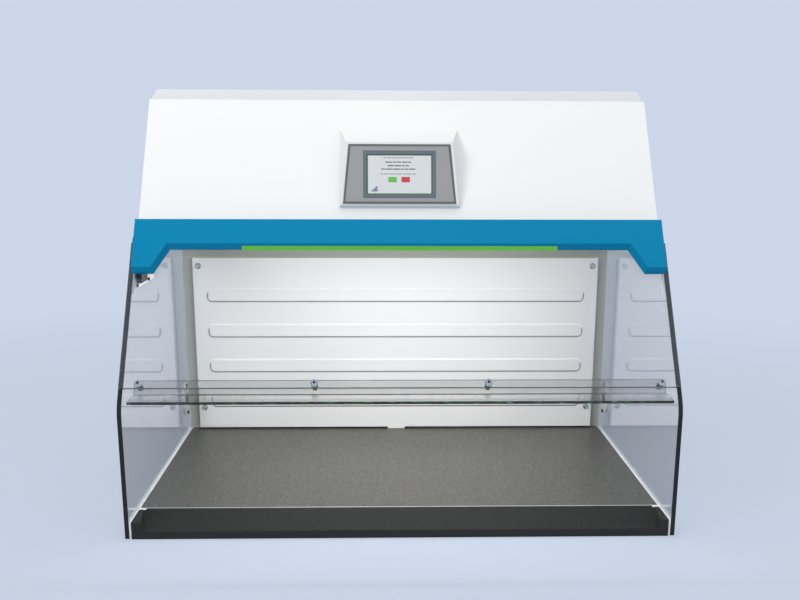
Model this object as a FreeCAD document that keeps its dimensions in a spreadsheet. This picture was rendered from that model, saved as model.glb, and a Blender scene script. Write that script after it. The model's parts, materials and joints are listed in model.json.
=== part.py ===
import FreeCAD, Part
import math
import os
import Sketcher
from FreeCAD import Placement, Rotation, Vector

# Powder containment cabinet for a laboratory bench, in millimetres.
# X runs to the right, Y away from the user, Z up.
# The origin lies on the bench, under the middle of the base.

doc = FreeCAD.newDocument("powder_containment_cabinet")
sheet = doc.addObject("Spreadsheet::Sheet", "sizes")
nodes = []


# Sizes that know the cell they come from

class Size:
    """A length with its value and the expression that gives it."""

    def __init__(self, value, text):
        self.value = value
        self.text = text

    def __add__(self, other):
        other = as_size(other)
        return Size(self.value + other.value, f"({self.text} + {other.text})")

    def __radd__(self, other):
        return as_size(other) + self

    def __sub__(self, other):
        other = as_size(other)
        return Size(self.value - other.value, f"({self.text} - {other.text})")

    def __rsub__(self, other):
        return as_size(other) - self

    def __mul__(self, other):
        other = as_size(other)
        return Size(self.value * other.value, f"({self.text} * {other.text})")

    def __rmul__(self, other):
        return as_size(other) * self

    def __truediv__(self, other):
        other = as_size(other)
        return Size(self.value / other.value, f"({self.text} / {other.text})")

    def __neg__(self):
        return Size(-self.value, f"(-1 * {self.text})")


def as_size(value):
    if isinstance(value, Size):
        return value
    return Size(float(value), repr(float(value)))


def sine(angle):
    return Size(math.sin(math.radians(angle.value)), f"sin({angle.text})")


def cosine(angle):
    return Size(math.cos(math.radians(angle.value)), f"cos({angle.text})")


def tangent(angle):
    return Size(math.tan(math.radians(angle.value)), f"tan({angle.text})")


def size(alias, value, note):
    row = len(sheet_rows) + 1
    sheet_rows.append(alias)
    sheet.set(f"A{row}", note)
    sheet.set(f"B{row}", str(value))
    sheet.setAlias(f"B{row}", alias)
    return Size(float(value), f"sizes.{alias}")


sheet_rows = []

# Overall cabinet
cab_width = size("cab_width", 1000, "over the two side panels")
base_depth = size("base_depth", 670, "front of the sill to the back")
base_height = size("base_height", 31.6, "bench to worktop surface")
sill_proud = size("sill_proud", 3, "sill in front of the side panels")
knee_height = size("knee_height", 243.4, "where the front edge turns back")
slope = size("slope_angle", 35.2, "front slope from upright, degrees")
chamber_top = size("chamber_top", 510, "bench to chamber ceiling")
head_top = size("head_top", 776, "bench to the head's upper rim")
sheet_steel = size("sheet_steel", 1.5, "folded steel sheet")
fit_gap = size("fit_gap", 0.3, "clearance between neighbours")

# Clear side panels
side_thick = size("side_thick", 8, "clear side sheet")
knee_radius = size("knee_radius", 60, "rounding of the knee")
panel_top = size("panel_top", 522, "bench to the top of a side panel")
panel_inset = size("panel_inset", 1.5, "panel edge behind the visor's face")
panel_corner = size("panel_corner", 10, "rear upper corner")

# Cable port in each side panel
port_depth = size("port_depth", 588, "port centre behind the front edge")
port_height = size("port_height", 115, "port centre above the bench")
port_disc = size("port_disc", 73, "cover plate diameter")
port_plate_thick = size("port_plate_thick", 4, "cover plate thickness")
port_hole = size("port_hole", 44, "hole in the side panel")
grommet_bore = size("grommet_bore", 20, "grommet's seat in the plate")
grommet_flange = size("grommet_flange", 26, "grommet flange diameter")
grommet_lip = size("grommet_lip", 2.5, "grommet flange thickness")
port_screw_pitch = size("port_screw_pitch", 63, "between the two plate screws")
port_screw_head = size("port_screw_head", 8, "plate screw head")
port_screw_rise = size("port_screw_rise", 3.2, "plate screw head height")

# Base
rail_thick = size("rail_thick", 3.7, "white side rail beside the base")
sill_depth = size("sill_depth", 78.2, "sill, front to back")
sill_lip = size("sill_lip", 15, "height of the sill's front face")
ramp_depth = size("ramp_depth", 73, "sloped part of the sill")
ramp_front_inset = size("ramp_front_inset", 17.3, "corner block at the front")
ramp_rear_inset = size("ramp_rear_inset", 7.5, "corner block at the rear")
corner_tab_wide = size("corner_tab_wide", 11.8, "white tab beside the worktop")
corner_tab_deep = size("corner_tab_deep", 8, "white tab, front to back")
sill_wall = size("sill_wall", 4, "wall and rib of the hollow sill")
sill_hollow = size("sill_hollow", 9.5, "height of the sill's hollow cells")
pan_wall_back = size("pan_wall_back", 646.7, "rear of the base pan")
worktop_thick = size("worktop_thick", 12, "worktop slab")
worktop_side_gap = size("worktop_side_gap", 1, "worktop to side rail")
hat_wide = size("hat_wide", 60, "bearer under the worktop")
hat_foot = size("hat_foot", 15, "foot of a bearer")
hat_pitch = size("hat_pitch", 300, "between bearers")
hat_end_gap = size("hat_end_gap", 12, "bearer end to the pan's wall")

# Rear wall and baffle
rear_face = size("rear_face", 647, "rear wall's face behind the front edge")
rear_thick = size("rear_thick", 2, "rear wall sheet")
post_wide = size("post_wide", 18, "rear post")
post_wall = size("post_wall", 1.5, "wall of a rear post")
baffle_edge = size("baffle_edge", 25, "baffle's edge to the side panel")
baffle_stand = size("baffle_stand", 19.5, "baffle face to rear wall")
baffle_bottom = size("baffle_bottom", 36, "lower edge of the baffle")
baffle_top = size("baffle_top", 436.5, "upper edge of the baffle")
tab_half = size("tab_half", 20, "central tab, centre to edge")
rib_margin = size("rib_margin", 33, "raised rib's end to the baffle's edge")
rib_low = size("rib_low", 89, "lower edge of the first rib")
rib_pitch = size("rib_pitch", 83.1, "between ribs")
rib_tall = size("rib_tall", 26, "height of a rib")
rib_raise = size("rib_raise", 2, "rib in front of the baffle")
rib_corner = size("rib_corner", 8, "corner of a rib")
bolt_margin = size("bolt_margin", 12.5, "baffle screw to the baffle's edge")
bolt_low = size("bolt_low", 85, "lower baffle screws")
bolt_high = size("bolt_high", 418.5, "upper baffle screws")
bolt_head = size("bolt_head", 13.5, "baffle screw head")
bolt_rise = size("bolt_rise", 4.5, "baffle screw head height")
spacer_wide = size("spacer_wide", 12, "spacer behind the baffle")

# Head
head_inset = size("head_inset", 8.5, "head side inside the cabinet's side")
cover_inset = size("cover_inset", 4.7, "head's face behind the visor's face")
cover_low = size("cover_low", 371.5, "lower edge of the cover, along the slope")
cover_return = size("cover_return", 15, "cover's folded edge")
header_inset = size("header_inset", 8.5, "header behind the visor's face")
header_low = size("header_low", 322, "lower edge of the header, along the slope")
lug_low = size("lug_low", 424, "lower end of the side lug")
lug_inset = size("lug_inset", 11, "side lug behind the visor's face")
lug_deep = size("lug_deep", 10, "side lug, front to back")
cap_tall = size("cap_tall", 19, "top cover height")
cap_inset = size("cap_inset", 5.5, "top cover inside the head's side")
cap_edge = size("cap_edge", 3, "upright edge of the top cover")
cap_chamfer = size("cap_chamfer", 10.5, "chamfer of the top cover")
vent_wide = size("vent_wide", 560, "exhaust opening, left to right")
vent_deep = size("vent_deep", 190, "exhaust opening, front to back")
vent_back = size("vent_back", 45, "exhaust opening from the back")
grille_lap = size("grille_lap", 12, "grille over the edge of its opening")
slot_count = size("slot_count", 18, "slots in a row of the grille")
slot_wide = size("slot_wide", 9, "slot of the grille")
slot_bar = size("slot_bar", 14, "bar between slot rows")

# Filters and fan
filter_wide = size("filter_wide", 760, "filter, left to right")
filter_deep = size("filter_deep", 350, "filter, front to back")
filter_front = size("filter_front", 290, "front of the filter")
filter_tall = size("filter_tall", 78, "filter frame height")
filter_wall = size("filter_wall", 18, "filter frame wall")
filter_ledge = size("filter_ledge", 20, "ceiling ledge under the filter")
prefilter_tall = size("prefilter_tall", 20, "prefilter height")
prefilter_lip = size("prefilter_lip", 3, "prefilter pad below its frame's upper edge")
gasket_tall = size("gasket_tall", 6, "gasket under the filter")
pleat_pitch = size("pleat_pitch", 36, "filter pleat pitch")
pleat_thick = size("pleat_thick", 1.6, "filter pleat sheet")
pleat_end = size("pleat_end", 4, "pleats inside the frame's height")
deck_thick = size("deck_thick", 2, "fan deck sheet")
deck_flange = size("deck_flange", 25, "turned-up edge of the fan deck")
fan_back = size("fan_back", 490, "fan axis behind the front edge")
inlet_bore = size("inlet_bore", 150, "throat of the fan inlet")
inlet_flare = size("inlet_flare", 170, "mouth of the fan inlet")
inlet_rim = size("inlet_rim", 8, "flat flange round the fan inlet")
inlet_tall = size("inlet_tall", 22, "fan inlet height")
inlet_wall = size("inlet_wall", 2, "fan inlet wall")
wheel_wide = size("wheel_wide", 250, "fan wheel diameter")
wheel_eye = size("wheel_eye", 164, "fan wheel eye")
wheel_gap = size("wheel_gap", 14, "fan wheel above the deck")
wheel_tall = size("wheel_tall", 72, "fan wheel height")
wheel_disc = size("wheel_disc", 2.5, "disc and shroud of the wheel")
blade_count = size("blade_count", 8, "blades of the wheel")
blade_thick = size("blade_thick", 2, "blade sheet")
blade_long = size("blade_long", 44, "blade length")
blade_margin = size("blade_margin", 2, "blade's inner edge outside the eye")
blade_lean = size("blade_lean", 38, "blade lean from radial, degrees")
hub_wide = size("hub_wide", 92, "rotor can in the wheel")
hub_tall = size("hub_tall", 50, "rotor can height")
shaft_wide = size("shaft_wide", 12, "motor shaft")
shaft_play = size("shaft_play", 0.05, "running fit of a shaft, each side")
motor_gap = size("motor_gap", 2, "wheel to motor plate")
motor_tall = size("motor_tall", 16, "motor plate height")
bridge_wide = size("bridge_wide", 50, "motor bridge strap")
bridge_half = size("bridge_half", 150, "motor bridge leg from the axis")
bridge_foot = size("bridge_foot", 25, "foot of the motor bridge")
bridge_thick = size("bridge_thick", 3, "motor bridge strap thickness")

# Lighting and control
lamp_margin = size("lamp_margin", 90, "lamp's end to the head's side")
lamp_front = size("lamp_front", 204, "front of the lamp")
lamp_deep = size("lamp_deep", 34, "lamp, front to back")
lamp_tall = size("lamp_tall", 10, "lamp body height")
lens_tall = size("lens_tall", 4, "lamp lens inside the lamp body")
lens_drop = size("lens_drop", 1, "lamp lens below the lamp body")
lamp_wall = size("lamp_wall", 2, "lamp body beside the lens")
control_wide = size("control_wide", 150, "control box, left to right")
control_deep = size("control_deep", 130, "control box, front to back")
control_tall = size("control_tall", 60, "control box height")
control_margin = size("control_margin", 50, "control box to the head's side")
control_back = size("control_back", 40, "control box from the back")
control_lid = size("control_lid", 4, "control box lid")
control_lap = size("control_lap", 1, "lid over the control box's edge")
plate_low = size("plate_low", 431, "lower edge of the switch plate")
plate_back = size("plate_back", 318, "rear edge of the switch plate")
plate_inset = size("plate_inset", 15.5, "switch plate behind the visor's face")
sensor_front = size("sensor_front", 162.5, "front of the visor switch")
sensor_deep = size("sensor_deep", 50, "visor switch, front to back")
sensor_low = size("sensor_low", 440, "lower face of the visor switch")
sensor_tall = size("sensor_tall", 22, "visor switch height")
sensor_thick = size("sensor_thick", 10, "visor switch thickness")
sensor_bolt_front = size("sensor_bolt_front", 164, "front plate screw")
sensor_bolt_pitch = size("sensor_bolt_pitch", 98, "between the plate screws")
sensor_bolt_high = size("sensor_bolt_high", 435.5, "height of the plate screws")
sensor_bolt_head = size("sensor_bolt_head", 7, "plate screw head")

# Display pod on the head's face, its front nearly upright
pod_low = size("pod_low", 408.8, "pod's lower edge along the slope")
pod_base_long = size("pod_base_long", 175.7, "pod's foot along the slope")
pod_step = size("pod_step", 10, "pod's lower edge in front of the head")
pod_tilt = size("pod_tilt", 15, "pod's front from upright, degrees")
pod_face_tall = size("pod_face_tall", 119.6, "pod's front face height")
pod_low_half = size("pod_low_half", 112, "pod's front, half width below")
pod_high_half = size("pod_high_half", 100.6, "pod's front, half width above")
bezel_edge = size("bezel_edge", 4.5, "pod's rim around the bezel")
bezel_raise = size("bezel_raise", 1.5, "bezel in front of the pod")
bezel_sunk = size("bezel_sunk", 3, "bezel's seat in the pod")
screen_wide = size("screen_wide", 137, "screen surround width")
screen_tall = size("screen_tall", 89, "screen surround height")
screen_low = size("screen_low", 13.5, "surround above the pod's lower edge")
surround_wall = size("surround_wall", 6.5, "screen surround's border")
screen_sunk = size("screen_sunk", 10, "depth of the screen's seat")
glass_thick = size("glass_thick", 3, "touch screen glass")

# Power inlet on the back
inlet_margin = size("inlet_margin", 111.5, "power inlet to the head's side")
inlet_high = size("inlet_high", 655, "power inlet above the bench")
inlet_wide = size("inlet_wide", 50, "power inlet flange width")
inlet_flange_tall = size("inlet_flange_tall", 60, "power inlet flange height")
inlet_rise = size("inlet_rise", 3, "power inlet flange thickness")
inlet_body = size("inlet_body", 30, "power inlet body depth")
inlet_body_wide = size("inlet_body_wide", 34, "power inlet body width")
inlet_body_tall = size("inlet_body_tall", 54, "power inlet body height")
socket_wide = size("socket_wide", 24, "connector recess width")
socket_tall = size("socket_tall", 16.5, "connector recess height")
socket_deep = size("socket_deep", 17, "connector recess depth")
rocker_wide = size("rocker_wide", 19, "mains switch rocker width")
rocker_tall = size("rocker_tall", 13, "mains switch rocker height")
rocker_pin = size("rocker_pin", 2, "rocker pivot diameter")

# Hinged hood with visor and fascia
visor_thick = size("visor_thick", 6, "clear visor sheet")
visor_low = size("visor_low", 38.7, "visor's lower edge along the slope")
visor_high = size("visor_high", 330, "visor's upper edge along the slope")
lip_thick = size("lip_thick", 5, "bent clear lip")
lip_margin = size("lip_margin", 18.5, "lip's edge to the side panel")
lip_high = size("lip_high", 54.6, "lip's upper edge along the slope")
lip_level = size("lip_level", 262.5, "lip's flat above the bench")
lip_reach = size("lip_reach", 31.5, "lip in front of the side panels")
lip_bend = size("lip_bend", 4, "inner radius of the lip's bend")
lip_corner = size("lip_corner", 12, "upper corner of the lip")
knob_margin = size("knob_margin", 8.5, "outer lip screws to the lip's edge")
knob_along = size("knob_along", 46, "lip screws along the slope")
knob_head = size("knob_head", 14, "lip screw head")
knob_rise = size("knob_rise", 7, "lip screw head height")
knob_shank = size("knob_shank", 5, "lip screw thread")
cap_nut = size("cap_nut", 12, "cap nut diameter")
cap_nut_tall = size("cap_nut_tall", 10, "cap nut height")
fascia_inset = size("fascia_inset", 8, "fascia inside the cabinet's side")
fascia_face = size("fascia_face", 20, "fascia in front of the visor's face")
fascia_back = size("fascia_back", 8, "fascia's rear edge before the visor")
fascia_high = size("fascia_high", 369, "fascia's upper edge along the slope")
fascia_fold = size("fascia_fold", 318, "fascia's lower edge along the slope")
leg_fold = size("leg_fold", 268, "lower edge of a fascia leg")
leg_foot = size("leg_foot", 35, "width of a leg's foot")
leg_spread = size("leg_spread", 62, "width of a leg's root")
fascia_flare = size("fascia_flare", 7.8, "lower bevel, sideways")
fascia_wall = size("fascia_wall", 2, "fascia's wall")
top_gap = size("top_gap", 4, "fascia's top return before the visor's face")
strip_margin = size("strip_margin", 137, "status strip's end to the leg's root")
strip_wide = size("strip_wide", 8.5, "status strip width")
strip_thick = size("strip_thick", 1.2, "status strip thickness")
bar_rise = size("bar_rise", 1.5, "visor bar above the fascia's lower edge")
bar_tall = size("bar_tall", 26, "visor bar height")
bar_inset = size("bar_inset", 14, "visor bar's end inside the fascia's side")
bar_wall = size("bar_wall", 2, "visor bar's wall")
bar_bolt_margin = size("bar_bolt_margin", 38, "outer bar screws to the bar's end")
bar_bolt_rise = size("bar_bolt_rise", 5, "bar screws above the bar's lower wall")
bar_bolt_wide = size("bar_bolt_wide", 8, "bar screw's hexagon head, over its corners")
bar_bolt_tall = size("bar_bolt_tall", 3.5, "bar screw's head height")
pin_along = size("pin_along", 366, "hinge axis along the slope")
pin_inset = size("pin_inset", 1, "hinge axis behind the visor's face")
pin_wide = size("pin_wide", 4, "hinge pin")
knuckle_wide = size("knuckle_wide", 8, "hinge knuckle")
hinge_margin = size("hinge_margin", 38, "hinge's end to the visor bar's end")
leaf_gap = size("leaf_gap", 5, "moving leaf above the visor")
leaf_tall = size("leaf_tall", 15, "fixed leaf height")
leaf_thick = size("leaf_thick", 1.5, "hinge leaf")
seal_low = size("seal_low", 322, "visor seal along the slope")
seal_wide = size("seal_wide", 8, "visor seal width")
seal_margin = size("seal_margin", 4, "seal's end to the head's side")

# Values worked out from the driving sizes
half = cab_width / 2
inner = half - side_thick
front_y = sill_proud - base_depth / 2
back = base_depth - sill_proud
head_half = half - head_inset
sheet_in = head_half - sheet_steel
face_in = cover_inset + sheet_steel
rail_in = inner - fit_gap - rail_thick
baffle_half = inner - baffle_edge
rib_half = baffle_half - rib_margin
bolt_half = baffle_half - bolt_margin
lip_half = inner - lip_margin
knob_half = lip_half - knob_margin
fascia_half = half - fascia_inset
leg_inner = fascia_half - leg_foot
leg_root = fascia_half - leg_spread
strip_half = leg_root - strip_margin
bar_half = fascia_half - bar_inset
hinge_half = bar_half - hinge_margin
lamp_half = sheet_in - lamp_margin
control_left = sheet_in - control_margin
inlet_left = head_half - inlet_margin
bar_low = fascia_fold + bar_rise
bar_high = bar_low + bar_tall
run = sine(slope)
rise = cosine(slope)
lean = tangent(slope)

# The pod's flanks are flat, so the width of its foot follows from its front.
pod_flank = (pod_low_half - pod_high_half) / (pod_face_tall * sine(slope - pod_tilt))
pod_base_half = pod_low_half + pod_flank * pod_step

# The tree holds a fixed number of these.
HINGE_KNUCKLES = 7
LIP_SCREWS = 4
BAR_SCREWS = 5


def on_slope(along, inset):
    """Depth and height of a point along the slope and behind the visor's face."""
    return along * run + inset * rise, knee_height + along * rise - inset * run


def slope_depth(height, inset):
    """Depth of the sloped plane that lies inset behind the visor's face."""
    return (height - knee_height) * lean + inset / rise


def slope_along(height, inset):
    """Way along the slope at which that plane reaches a height."""
    return (height - knee_height + inset * run) / rise


# Small modelling functions

def bind(item, path, value):
    item.setExpression(path, as_size(value).text)


def origin_part(body, role):
    return next(item for item in body.Origin.OriginFeatures if item.Role == role)


def set_place(item, x=0, y=0, z=0, axis=None, angle=0):
    """Placement whose offsets and angle follow the sheet."""
    x, y, z, angle = as_size(x), as_size(y), as_size(z), as_size(angle)
    turn = Rotation(Vector(*(axis or (0, 0, 1))), angle.value)
    item.Placement = Placement(Vector(x.value, y.value, z.value), turn)
    bind(item, "Placement.Base.x", x)
    bind(item, "Placement.Base.y", y)
    bind(item, "Placement.Base.z", z)
    if axis:
        bind(item, "Placement.Rotation.Angle", angle)


def new_body(label):
    """Body that stands in the cabinet, with Y counted from the front edge."""
    body = doc.addObject("PartDesign::Body", label)
    body.Label = label
    body.AllowCompound = True
    set_place(body, y=front_y)
    nodes.append(body)
    return body


def new_slope_body(label):
    """Body on the front slope: Z runs up along it, -Y points out to the user."""
    body = new_body(label)
    set_place(body, y=front_y, z=knee_height, axis=(-1, 0, 0), angle=slope)
    return body


def new_pod_body(label):
    """Body on the display's front face: Z runs up along it, -Y points out."""
    body = new_body(label)
    depth, height = on_slope(pod_low, cover_inset - pod_step)
    set_place(body, y=front_y + depth, z=height, axis=(-1, 0, 0), angle=pod_tilt)
    return body


def box(body, x, y, z, cut=False):
    """Box between two limits on each axis."""
    kind = "PartDesign::SubtractiveBox" if cut else "PartDesign::AdditiveBox"
    item = body.newObject(kind, "cut_box" if cut else "box")
    bind(item, "Length", x[1] - as_size(x[0]))
    bind(item, "Width", y[1] - as_size(y[0]))
    bind(item, "Height", z[1] - as_size(z[0]))
    set_place(item, x[0], y[0], z[0])
    return item


AXES = {"x": (0, 1, 0), "y": (-1, 0, 0), "z": (0, 0, 1)}
QUARTER = {"x": 90, "y": 90, "z": 0}


def rod(body, axis, centre, width, reach, cut=False):
    """Cylinder of a given diameter along an axis, between two limits."""
    kind = "PartDesign::SubtractiveCylinder" if cut else "PartDesign::AdditiveCylinder"
    item = body.newObject(kind, "cut_rod" if cut else "rod")
    bind(item, "Radius", as_size(width) / 2)
    bind(item, "Height", reach[1] - as_size(reach[0]))
    place = list(centre)
    place.insert("xyz".index(axis), reach[0])
    set_place(item, *place, axis=AXES[axis], angle=QUARTER[axis])
    return item


PLANES = {"x": "YZ_Plane", "y": "XZ_Plane", "z": "XY_Plane"}


def new_sketch(body, name, role):
    sketch = body.newObject("Sketcher::SketchObject", name)
    sketch.AttachmentSupport = (origin_part(body, role), [""])
    sketch.MapMode = "FlatFace"
    return sketch


def fill_outline(sketch, points):
    """Closed outline of straight lines whose corners follow the sheet."""
    corners = [(as_size(u), as_size(v)) for u, v in points]
    count = len(corners)
    lines = []
    rules = []
    for index, (u, v) in enumerate(corners):
        next_u, next_v = corners[(index + 1) % count]
        start = Vector(u.value, v.value, 0)
        end = Vector(next_u.value, next_v.value, 0)
        lines.append(Part.LineSegment(start, end))
        rules.append(Sketcher.Constraint("Coincident", index, 2, (index + 1) % count, 1))
    for index, (u, v) in enumerate(corners):
        rules.append(Sketcher.Constraint("DistanceX", -1, 1, index, 1, u.value))
        rules.append(Sketcher.Constraint("DistanceY", -1, 1, index, 1, v.value))
    sketch.addGeometry(lines, False)
    sketch.addConstraint(rules)
    for index, (u, v) in enumerate(corners):
        sketch.setExpression(f"Constraints[{count + 2 * index}]", u.text)
        sketch.setExpression(f"Constraints[{count + 2 * index + 1}]", v.text)


def outline(body, axis, points, level=0):
    """Outline on a plane square to an axis."""
    sketch = new_sketch(body, "outline", PLANES[axis])
    level = as_size(level)
    sketch.AttachmentOffset = Placement(Vector(0, 0, level.value), Rotation())
    bind(sketch, "AttachmentOffset.Base.z", level)
    fill_outline(sketch, points)
    return sketch


def prism(body, axis, points, reach, cut=False):
    """Outline drawn square to an axis and run between two limits on it."""
    low, high = as_size(reach[0]), as_size(reach[1])
    level = -high if axis == "y" else low
    sketch = outline(body, axis, points, level)
    kind = "PartDesign::Pocket" if cut else "PartDesign::Pad"
    item = body.newObject(kind, "pocket" if cut else "pad")
    item.Profile = sketch
    if cut:
        item.Reversed = True
    bind(item, "Length", high - low)
    return item


def turned(body, axis, centre, profile, cut=False):
    """Profile of radius and reach pairs, turned about an axis through a centre."""
    # The sketch lies on a plane through the axis and is moved out to the centre.
    names = {"x": ("XY_Plane", True), "y": ("XY_Plane", False), "z": ("XZ_Plane", False)}
    role, swapped = names[axis]
    sketch = new_sketch(body, "profile", role)
    first, second = (as_size(value) for value in centre)
    if axis == "x":
        shift = (as_size(0), first, second)
    elif axis == "y":
        shift = (first, as_size(0), second)
    else:
        shift = (first, as_size(0), -second)
    sketch.AttachmentOffset = Placement(Vector(*(s.value for s in shift)), Rotation())
    for name, value in zip("xyz", shift):
        bind(sketch, f"AttachmentOffset.Base.{name}", value)
    fill_outline(sketch, [(reach, radius) if swapped else (radius, reach)
                          for radius, reach in profile])
    kind = "PartDesign::Groove" if cut else "PartDesign::Revolution"
    item = body.newObject(kind, "turned")
    item.Profile = sketch
    item.ReferenceAxis = (sketch, ["H_Axis" if swapped else "V_Axis"])
    item.Angle = 360
    return item


def row(body, items, axis, count, span):
    """Copies of features in a straight row."""
    item = body.newObject("PartDesign::LinearPattern", "row")
    item.Originals = items
    item.Direction = (origin_part(body, f"{axis.upper()}_Axis"), [""])
    span = as_size(span)
    item.Length = span.value
    bind(item, "Length", span)
    bind(item, "Occurrences", count)
    body.Tip = item
    return item


def ring(body, items, count):
    """Copies of features around the body's Z axis."""
    item = body.newObject("PartDesign::PolarPattern", "ring")
    item.Originals = items
    item.Axis = (origin_part(body, "Z_Axis"), [""])
    item.Angle = 360
    bind(item, "Occurrences", count)
    body.Tip = item
    return item


def edges_where(item, test):
    """Names of a feature's edges whose middle passes a test."""
    doc.recompute()
    names = []
    for index, edge in enumerate(item.Shape.Edges):
        middle = edge.valueAt((edge.FirstParameter + edge.LastParameter) / 2)
        if test(middle, edge):
            names.append(f"Edge{index + 1}")
    return names


def round_edges(body, item, radius, test):
    names = edges_where(item, test)
    fillet = body.newObject("PartDesign::Fillet", "rounding")
    fillet.Base = (item, names)
    fillet.Radius = radius.value
    bind(fillet, "Radius", radius)
    return fillet


def near(value, target, slack=0.2):
    return abs(value - as_size(target).value) < slack


def span_of(middle, half_width):
    return as_size(middle) - half_width, as_size(middle) + half_width


def both(value):
    return -as_size(value), as_size(value)


def polygon(centre, width, sides):
    """Corners of an even polygon of a given width over its corners."""
    first, second = (as_size(value) for value in centre)
    radius = as_size(width) / 2
    turns = [2 * math.pi * step / sides for step in range(sides)]
    return [(first + radius * round(math.cos(turn), 9), second + radius * round(math.sin(turn), 9))
            for turn in turns]


def hexagon(centre, width):
    return polygon(centre, width, 6)


# Sides of round sheet and plastic parts that nothing turns in
DISC_SIDES = 36
BORE_SIDES = 24


SIDES = {"left": -1, "right": 1}


def outward(side, low, high):
    """Limits on X for one side, given as distances from the middle."""
    low, high = as_size(low), as_size(high)
    if SIDES[side] > 0:
        return low, high
    return -high, -low


# Base: sill, pan, rails, bearers and worktop

def make_base():
    pan_half = rail_in - fit_gap
    pan_front = sill_depth - sill_proud + fit_gap
    pan = new_body("base_pan")
    box(pan, both(pan_half), (pan_front, pan_wall_back), (0, sheet_steel))
    box(pan, both(pan_half), (pan_front, pan_front + sheet_steel), (0, base_height))
    box(pan, both(pan_half), (pan_wall_back - sheet_steel, pan_wall_back), (0, base_height))
    for side in SIDES:
        across = outward(side, pan_half - corner_tab_wide, pan_half)
        tab_level = (base_height - sheet_steel, base_height)
        box(pan, across, (pan_front - corner_tab_deep, pan_front + sheet_steel), tab_level)

    # Top-hat bearers are spot-welded to the pan's floor.
    under = base_height - worktop_thick
    wide = hat_wide / 2
    top = wide - hat_foot
    wall = sheet_steel
    section = [(-wide, wall), (-top + wall, wall), (-top + wall, under - wall), (top - wall, under - wall),
               (top - wall, wall), (wide, wall), (wide, 2 * wall), (top, 2 * wall), (top, under),
               (-top, under), (-top, 2 * wall), (-wide, 2 * wall)]
    along = (pan_front + hat_end_gap, pan_wall_back - hat_end_gap)
    for index in range(3):
        centre = hat_pitch * (index - 1)
        prism(pan, "y", [(centre + x, z) for x, z in section], along)

    sill = new_body("front_sill")
    front = -sill_proud
    rear = pan_front - fit_gap
    crest = front + ramp_depth
    section = [(front, 0), (rear, 0), (rear, base_height), (crest, base_height), (front, sill_lip)]
    prism(sill, "x", section, both(pan_half))
    for side in SIDES:
        sign = SIDES[side]
        block = [(sign * (pan_half - ramp_front_inset), front), (sign * pan_half, front),
                 (sign * pan_half, crest), (sign * (pan_half - ramp_rear_inset), crest)]
        prism(sill, "z", block, (0, base_height))
    for side in SIDES:
        across = outward(side, pan_half - corner_tab_wide - fit_gap, pan_half + 1)
        tab_seat = (base_height - sheet_steel - fit_gap, base_height + 1)
        box(sill, across, (pan_front - corner_tab_deep - fit_gap, rear + 1), tab_seat, cut=True)
    cells = 6
    cell = (2 * pan_half - sill_wall * (cells + 1)) / cells
    start = sill_wall - pan_half
    hollow = box(sill, (start, start + cell), (front + sill_wall, rear - sill_wall),
                 (-1, sill_hollow), cut=True)
    row(sill, [hollow], "x", cells, (cell + sill_wall) * (cells - 1))

    for side in SIDES:
        rail = new_body(f"base_rail_{side}")
        box(rail, outward(side, rail_in, rail_in + rail_thick), (0, pan_wall_back), (0, base_height))

    slab = new_body("worktop")
    along = (pan_front + sheet_steel + fit_gap, pan_wall_back - sheet_steel - fit_gap)
    box(slab, both(rail_in - worktop_side_gap), along, (under, base_height))


# Clear side panels and their cable ports

def make_sides():
    step = visor_low - fit_gap
    step_out = on_slope(step, panel_inset)
    step_in = on_slope(step, visor_thick + fit_gap)
    knee = knee_height - panel_inset / run
    crest = slope_depth(panel_top, visor_thick + fit_gap)
    contour = [(0, 0), (0, knee), step_out, step_in, (crest, panel_top),
               (back, panel_top), (back, 0)]
    for side in SIDES:
        panel = new_body(f"side_panel_{side}")
        sheet_body = prism(panel, "x", contour, outward(side, inner, half))
        bent = round_edges(panel, sheet_body, knee_radius,
                           lambda p, e: near(p.y, 0) and near(p.z, knee) and e.Length < 20)
        round_edges(panel, bent, panel_corner,
                    lambda p, e: near(p.y, back) and near(p.z, panel_top) and e.Length < 20)
        through = outward(side, inner - 1, half + 1)
        rod(panel, "x", (port_depth, port_height), port_hole, through, cut=True)

        plate = new_body(f"port_plate_{side}")
        across = outward(side, inner - port_plate_thick, inner)
        beyond = outward(side, inner - port_plate_thick - 1, inner + 1)
        spot = (port_depth, port_height)
        prism(plate, "x", polygon(spot, port_disc, DISC_SIDES), across)
        prism(plate, "x", polygon(spot, grommet_bore + fit_gap, BORE_SIDES), beyond, cut=True)

        grommet = new_body(f"port_grommet_{side}")
        face = inner - port_plate_thick
        prism(grommet, "x", polygon(spot, grommet_flange, BORE_SIDES), outward(side, face - grommet_lip, face))
        prism(grommet, "x", polygon(spot, grommet_bore, BORE_SIDES), outward(side, face, inner + grommet_lip))

    screws = new_body("port_screws")
    for side in SIDES:
        face = inner - port_plate_thick
        for sign in (-1, 1):
            spot = (port_depth, port_height + sign * port_screw_pitch / 2)
            prism(screws, "x", hexagon(spot, port_screw_head), outward(side, face - port_screw_rise, face))


# Rear wall, posts and baffle

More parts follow.
